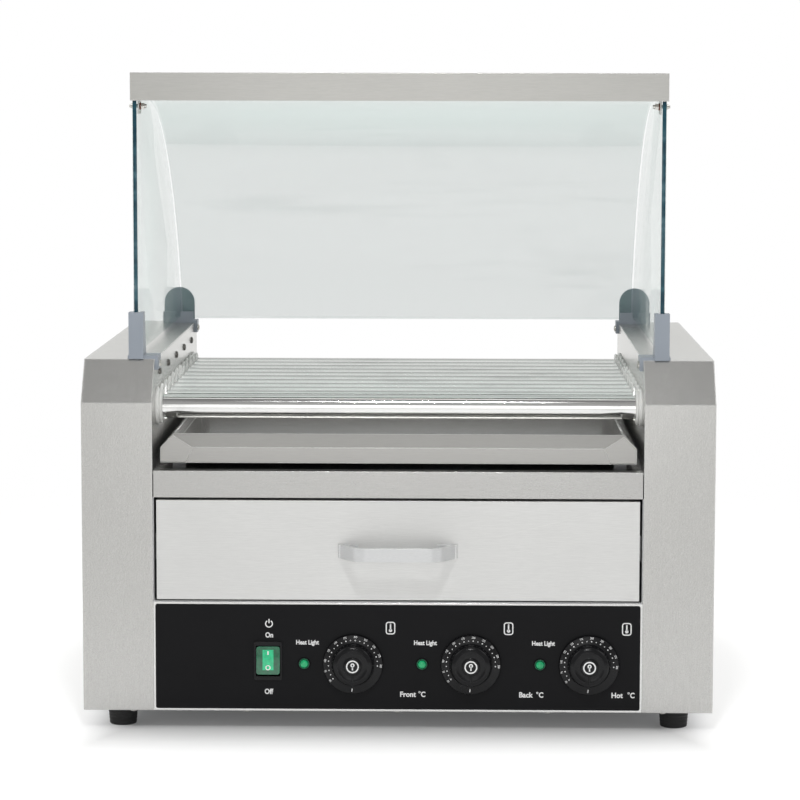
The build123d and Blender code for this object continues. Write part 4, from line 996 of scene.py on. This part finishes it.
def makeWorld():
    # a pale room: bright overhead and behind, greyer in front, plain white as a backdrop
    world = bpy.data.worlds.new("studio")
    bpy.context.scene.world = world
    world.use_nodes = True
    tree = world.node_tree
    join = tree.links.new
    background = tree.nodes["Background"]
    coords = tree.nodes.new("ShaderNodeTexCoord")
    split = tree.nodes.new("ShaderNodeSeparateXYZ")
    join(coords.outputs["Generated"], split.inputs[0])
    ramps = []
    for bands in (studio["frontBands"], studio["rearBands"]):
        height = tree.nodes.new("ShaderNodeMapRange")
        height.inputs["From Min"].default_value = -1.0
        join(split.outputs["Z"], height.inputs["Value"])
        ramp = tree.nodes.new("ShaderNodeValToRGB")
        while len(ramp.color_ramp.elements) < len(bands):
            ramp.color_ramp.elements.new(0.5)
        for element, (place, level) in zip(ramp.color_ramp.elements, bands):
            element.position = (place + 1) / 2
            element.color = (level, level, level * 0.985, 1.0)
        join(height.outputs[0], ramp.inputs["Fac"])
        ramps.append(ramp)
    toRear = tree.nodes.new("ShaderNodeMapRange")
    toRear.interpolation_type = "SMOOTHSTEP"
    toRear.inputs["From Min"].default_value = -0.12
    toRear.inputs["From Max"].default_value = 0.02
    join(split.outputs["Y"], toRear.inputs["Value"])
    room = tree.nodes.new("ShaderNodeMix")
    room.data_type = "RGBA"
    join(toRear.outputs[0], room.inputs["Factor"])
    join(ramps[0].outputs["Color"], room.inputs[6])
    join(ramps[1].outputs["Color"], room.inputs[7])
    path = tree.nodes.new("ShaderNodeLightPath")
    backdrop = tree.nodes.new("ShaderNodeMix")
    backdrop.data_type = "RGBA"
    backdrop.inputs[7].default_value = (1.0, 1.0, 1.0, 1.0)
    join(path.outputs["Is Camera Ray"], backdrop.inputs["Factor"])
    join(room.outputs[2], backdrop.inputs[6])
    join(backdrop.outputs[2], background.inputs["Color"])
    background.inputs["Strength"].default_value = 1.0


def makeStudio():
    scene = bpy.context.scene
    scene.view_settings.view_transform = "Standard"
    camera = bpy.data.objects.new("camera", bpy.data.cameras.new("camera"))
    camera.data.lens = studio["lens"]
    camera.data.sensor_width = 36.0
    camera.data.clip_end = 100.0
    camera.location = studio["cameraPlace"]
    turn = Matrix.Rotation(math.radians(studio["cameraPan"]), 4, "Z")
    tilt = Matrix.Rotation(math.radians(90 - studio["cameraTilt"]), 4, "X")
    roll = Matrix.Rotation(math.radians(studio["cameraRoll"]), 4, "Z")
    camera.rotation_euler = (turn @ tilt @ roll).to_euler()
    scene.collection.objects.link(camera)
    scene.camera = camera

    half = studio["floorHalf"]
    floorMesh = bpy.data.meshes.new("floor")
    corners = [(-half, -half, 0), (half, -half, 0), (half, half, 0), (-half, half, 0)]
    floorMesh.from_pydata(corners, [], [(0, 1, 2, 3)])
    floor = bpy.data.objects.new("floor", floorMesh)
    scene.collection.objects.link(floor)
    g = Graph("studioFloor")
    # the floor fades into the pale surroundings away from the object
    away = g.add("ShaderNodeVectorMath", {"operation": "LENGTH"}, {0: g.place()}).out("Value")
    near, far = studio["floorClear"]
    g.set(Base_Color=studio["floorTone"], Roughness=0.75, Specular_IOR_Level=0.1)
    g.set(Alpha=1 - away.span(near, far))
    # its own glow is dark grey under the object and up to a hand's breadth around it, white beyond: a painted
    # contact shadow
    split = g.add("ShaderNodeSeparateXYZ", None, {0: g.place()})
    outX = (split.out("X").combine("ABSOLUTE") - studio["footprint"][0]) * 2.4
    outY = split.out("Y").combine("ABSOLUTE") - studio["footprint"][1]
    outside = outX.combine("MAXIMUM", outY).span(*studio["shadowReach"])
    g.set(Emission_Color=g.mixColour(outside, (0.13, 0.13, 0.13), (1.0, 1.0, 1.0)))
    g.set(Emission_Strength=studio["floorGlow"])
    floorMesh.materials.append(g.material)

    makeWorld()
    softboxes = {
        "frontLight": ((0.0, -1.5, 1.97), (0, -0.2, 0.2), 0.16, 13),
        "lowLight": ((0.0, -2.3, 0.5), (0, 0, 0.28), 0.9, 3),
        "leftLight": ((-2.3, -0.4, 2.2), (0, 0, 0.2), 1.4, 10),
        "rightLight": ((2.3, -0.3, 2.2), (0, 0, 0.2), 1.4, 10),
        "bayLight": ((0.0, -0.168, 0.2725), (0, 0.2, 0.272), 0.018, 1.5),
    }
    for lightName, (spot, target, size, power) in softboxes.items():
        light = bpy.data.objects.new(lightName, bpy.data.lights.new(lightName, "AREA"))
        light.data.shape = "SQUARE"
        light.data.size = size
        light.data.energy = power
        if lightName == "bayLight":
            light.data.shape = "RECTANGLE"
            light.data.size = 0.40
            light.data.size_y = size
        light.visible_camera = False
        light.visible_glossy = lightName != "bayLight"
        light.location = spot
        aim = Vector(target) - Vector(spot)
        light.rotation_euler = aim.to_track_quat("-Z", "Y").to_euler()
        scene.collection.objects.link(light)


makeStudio()
print("studio set")
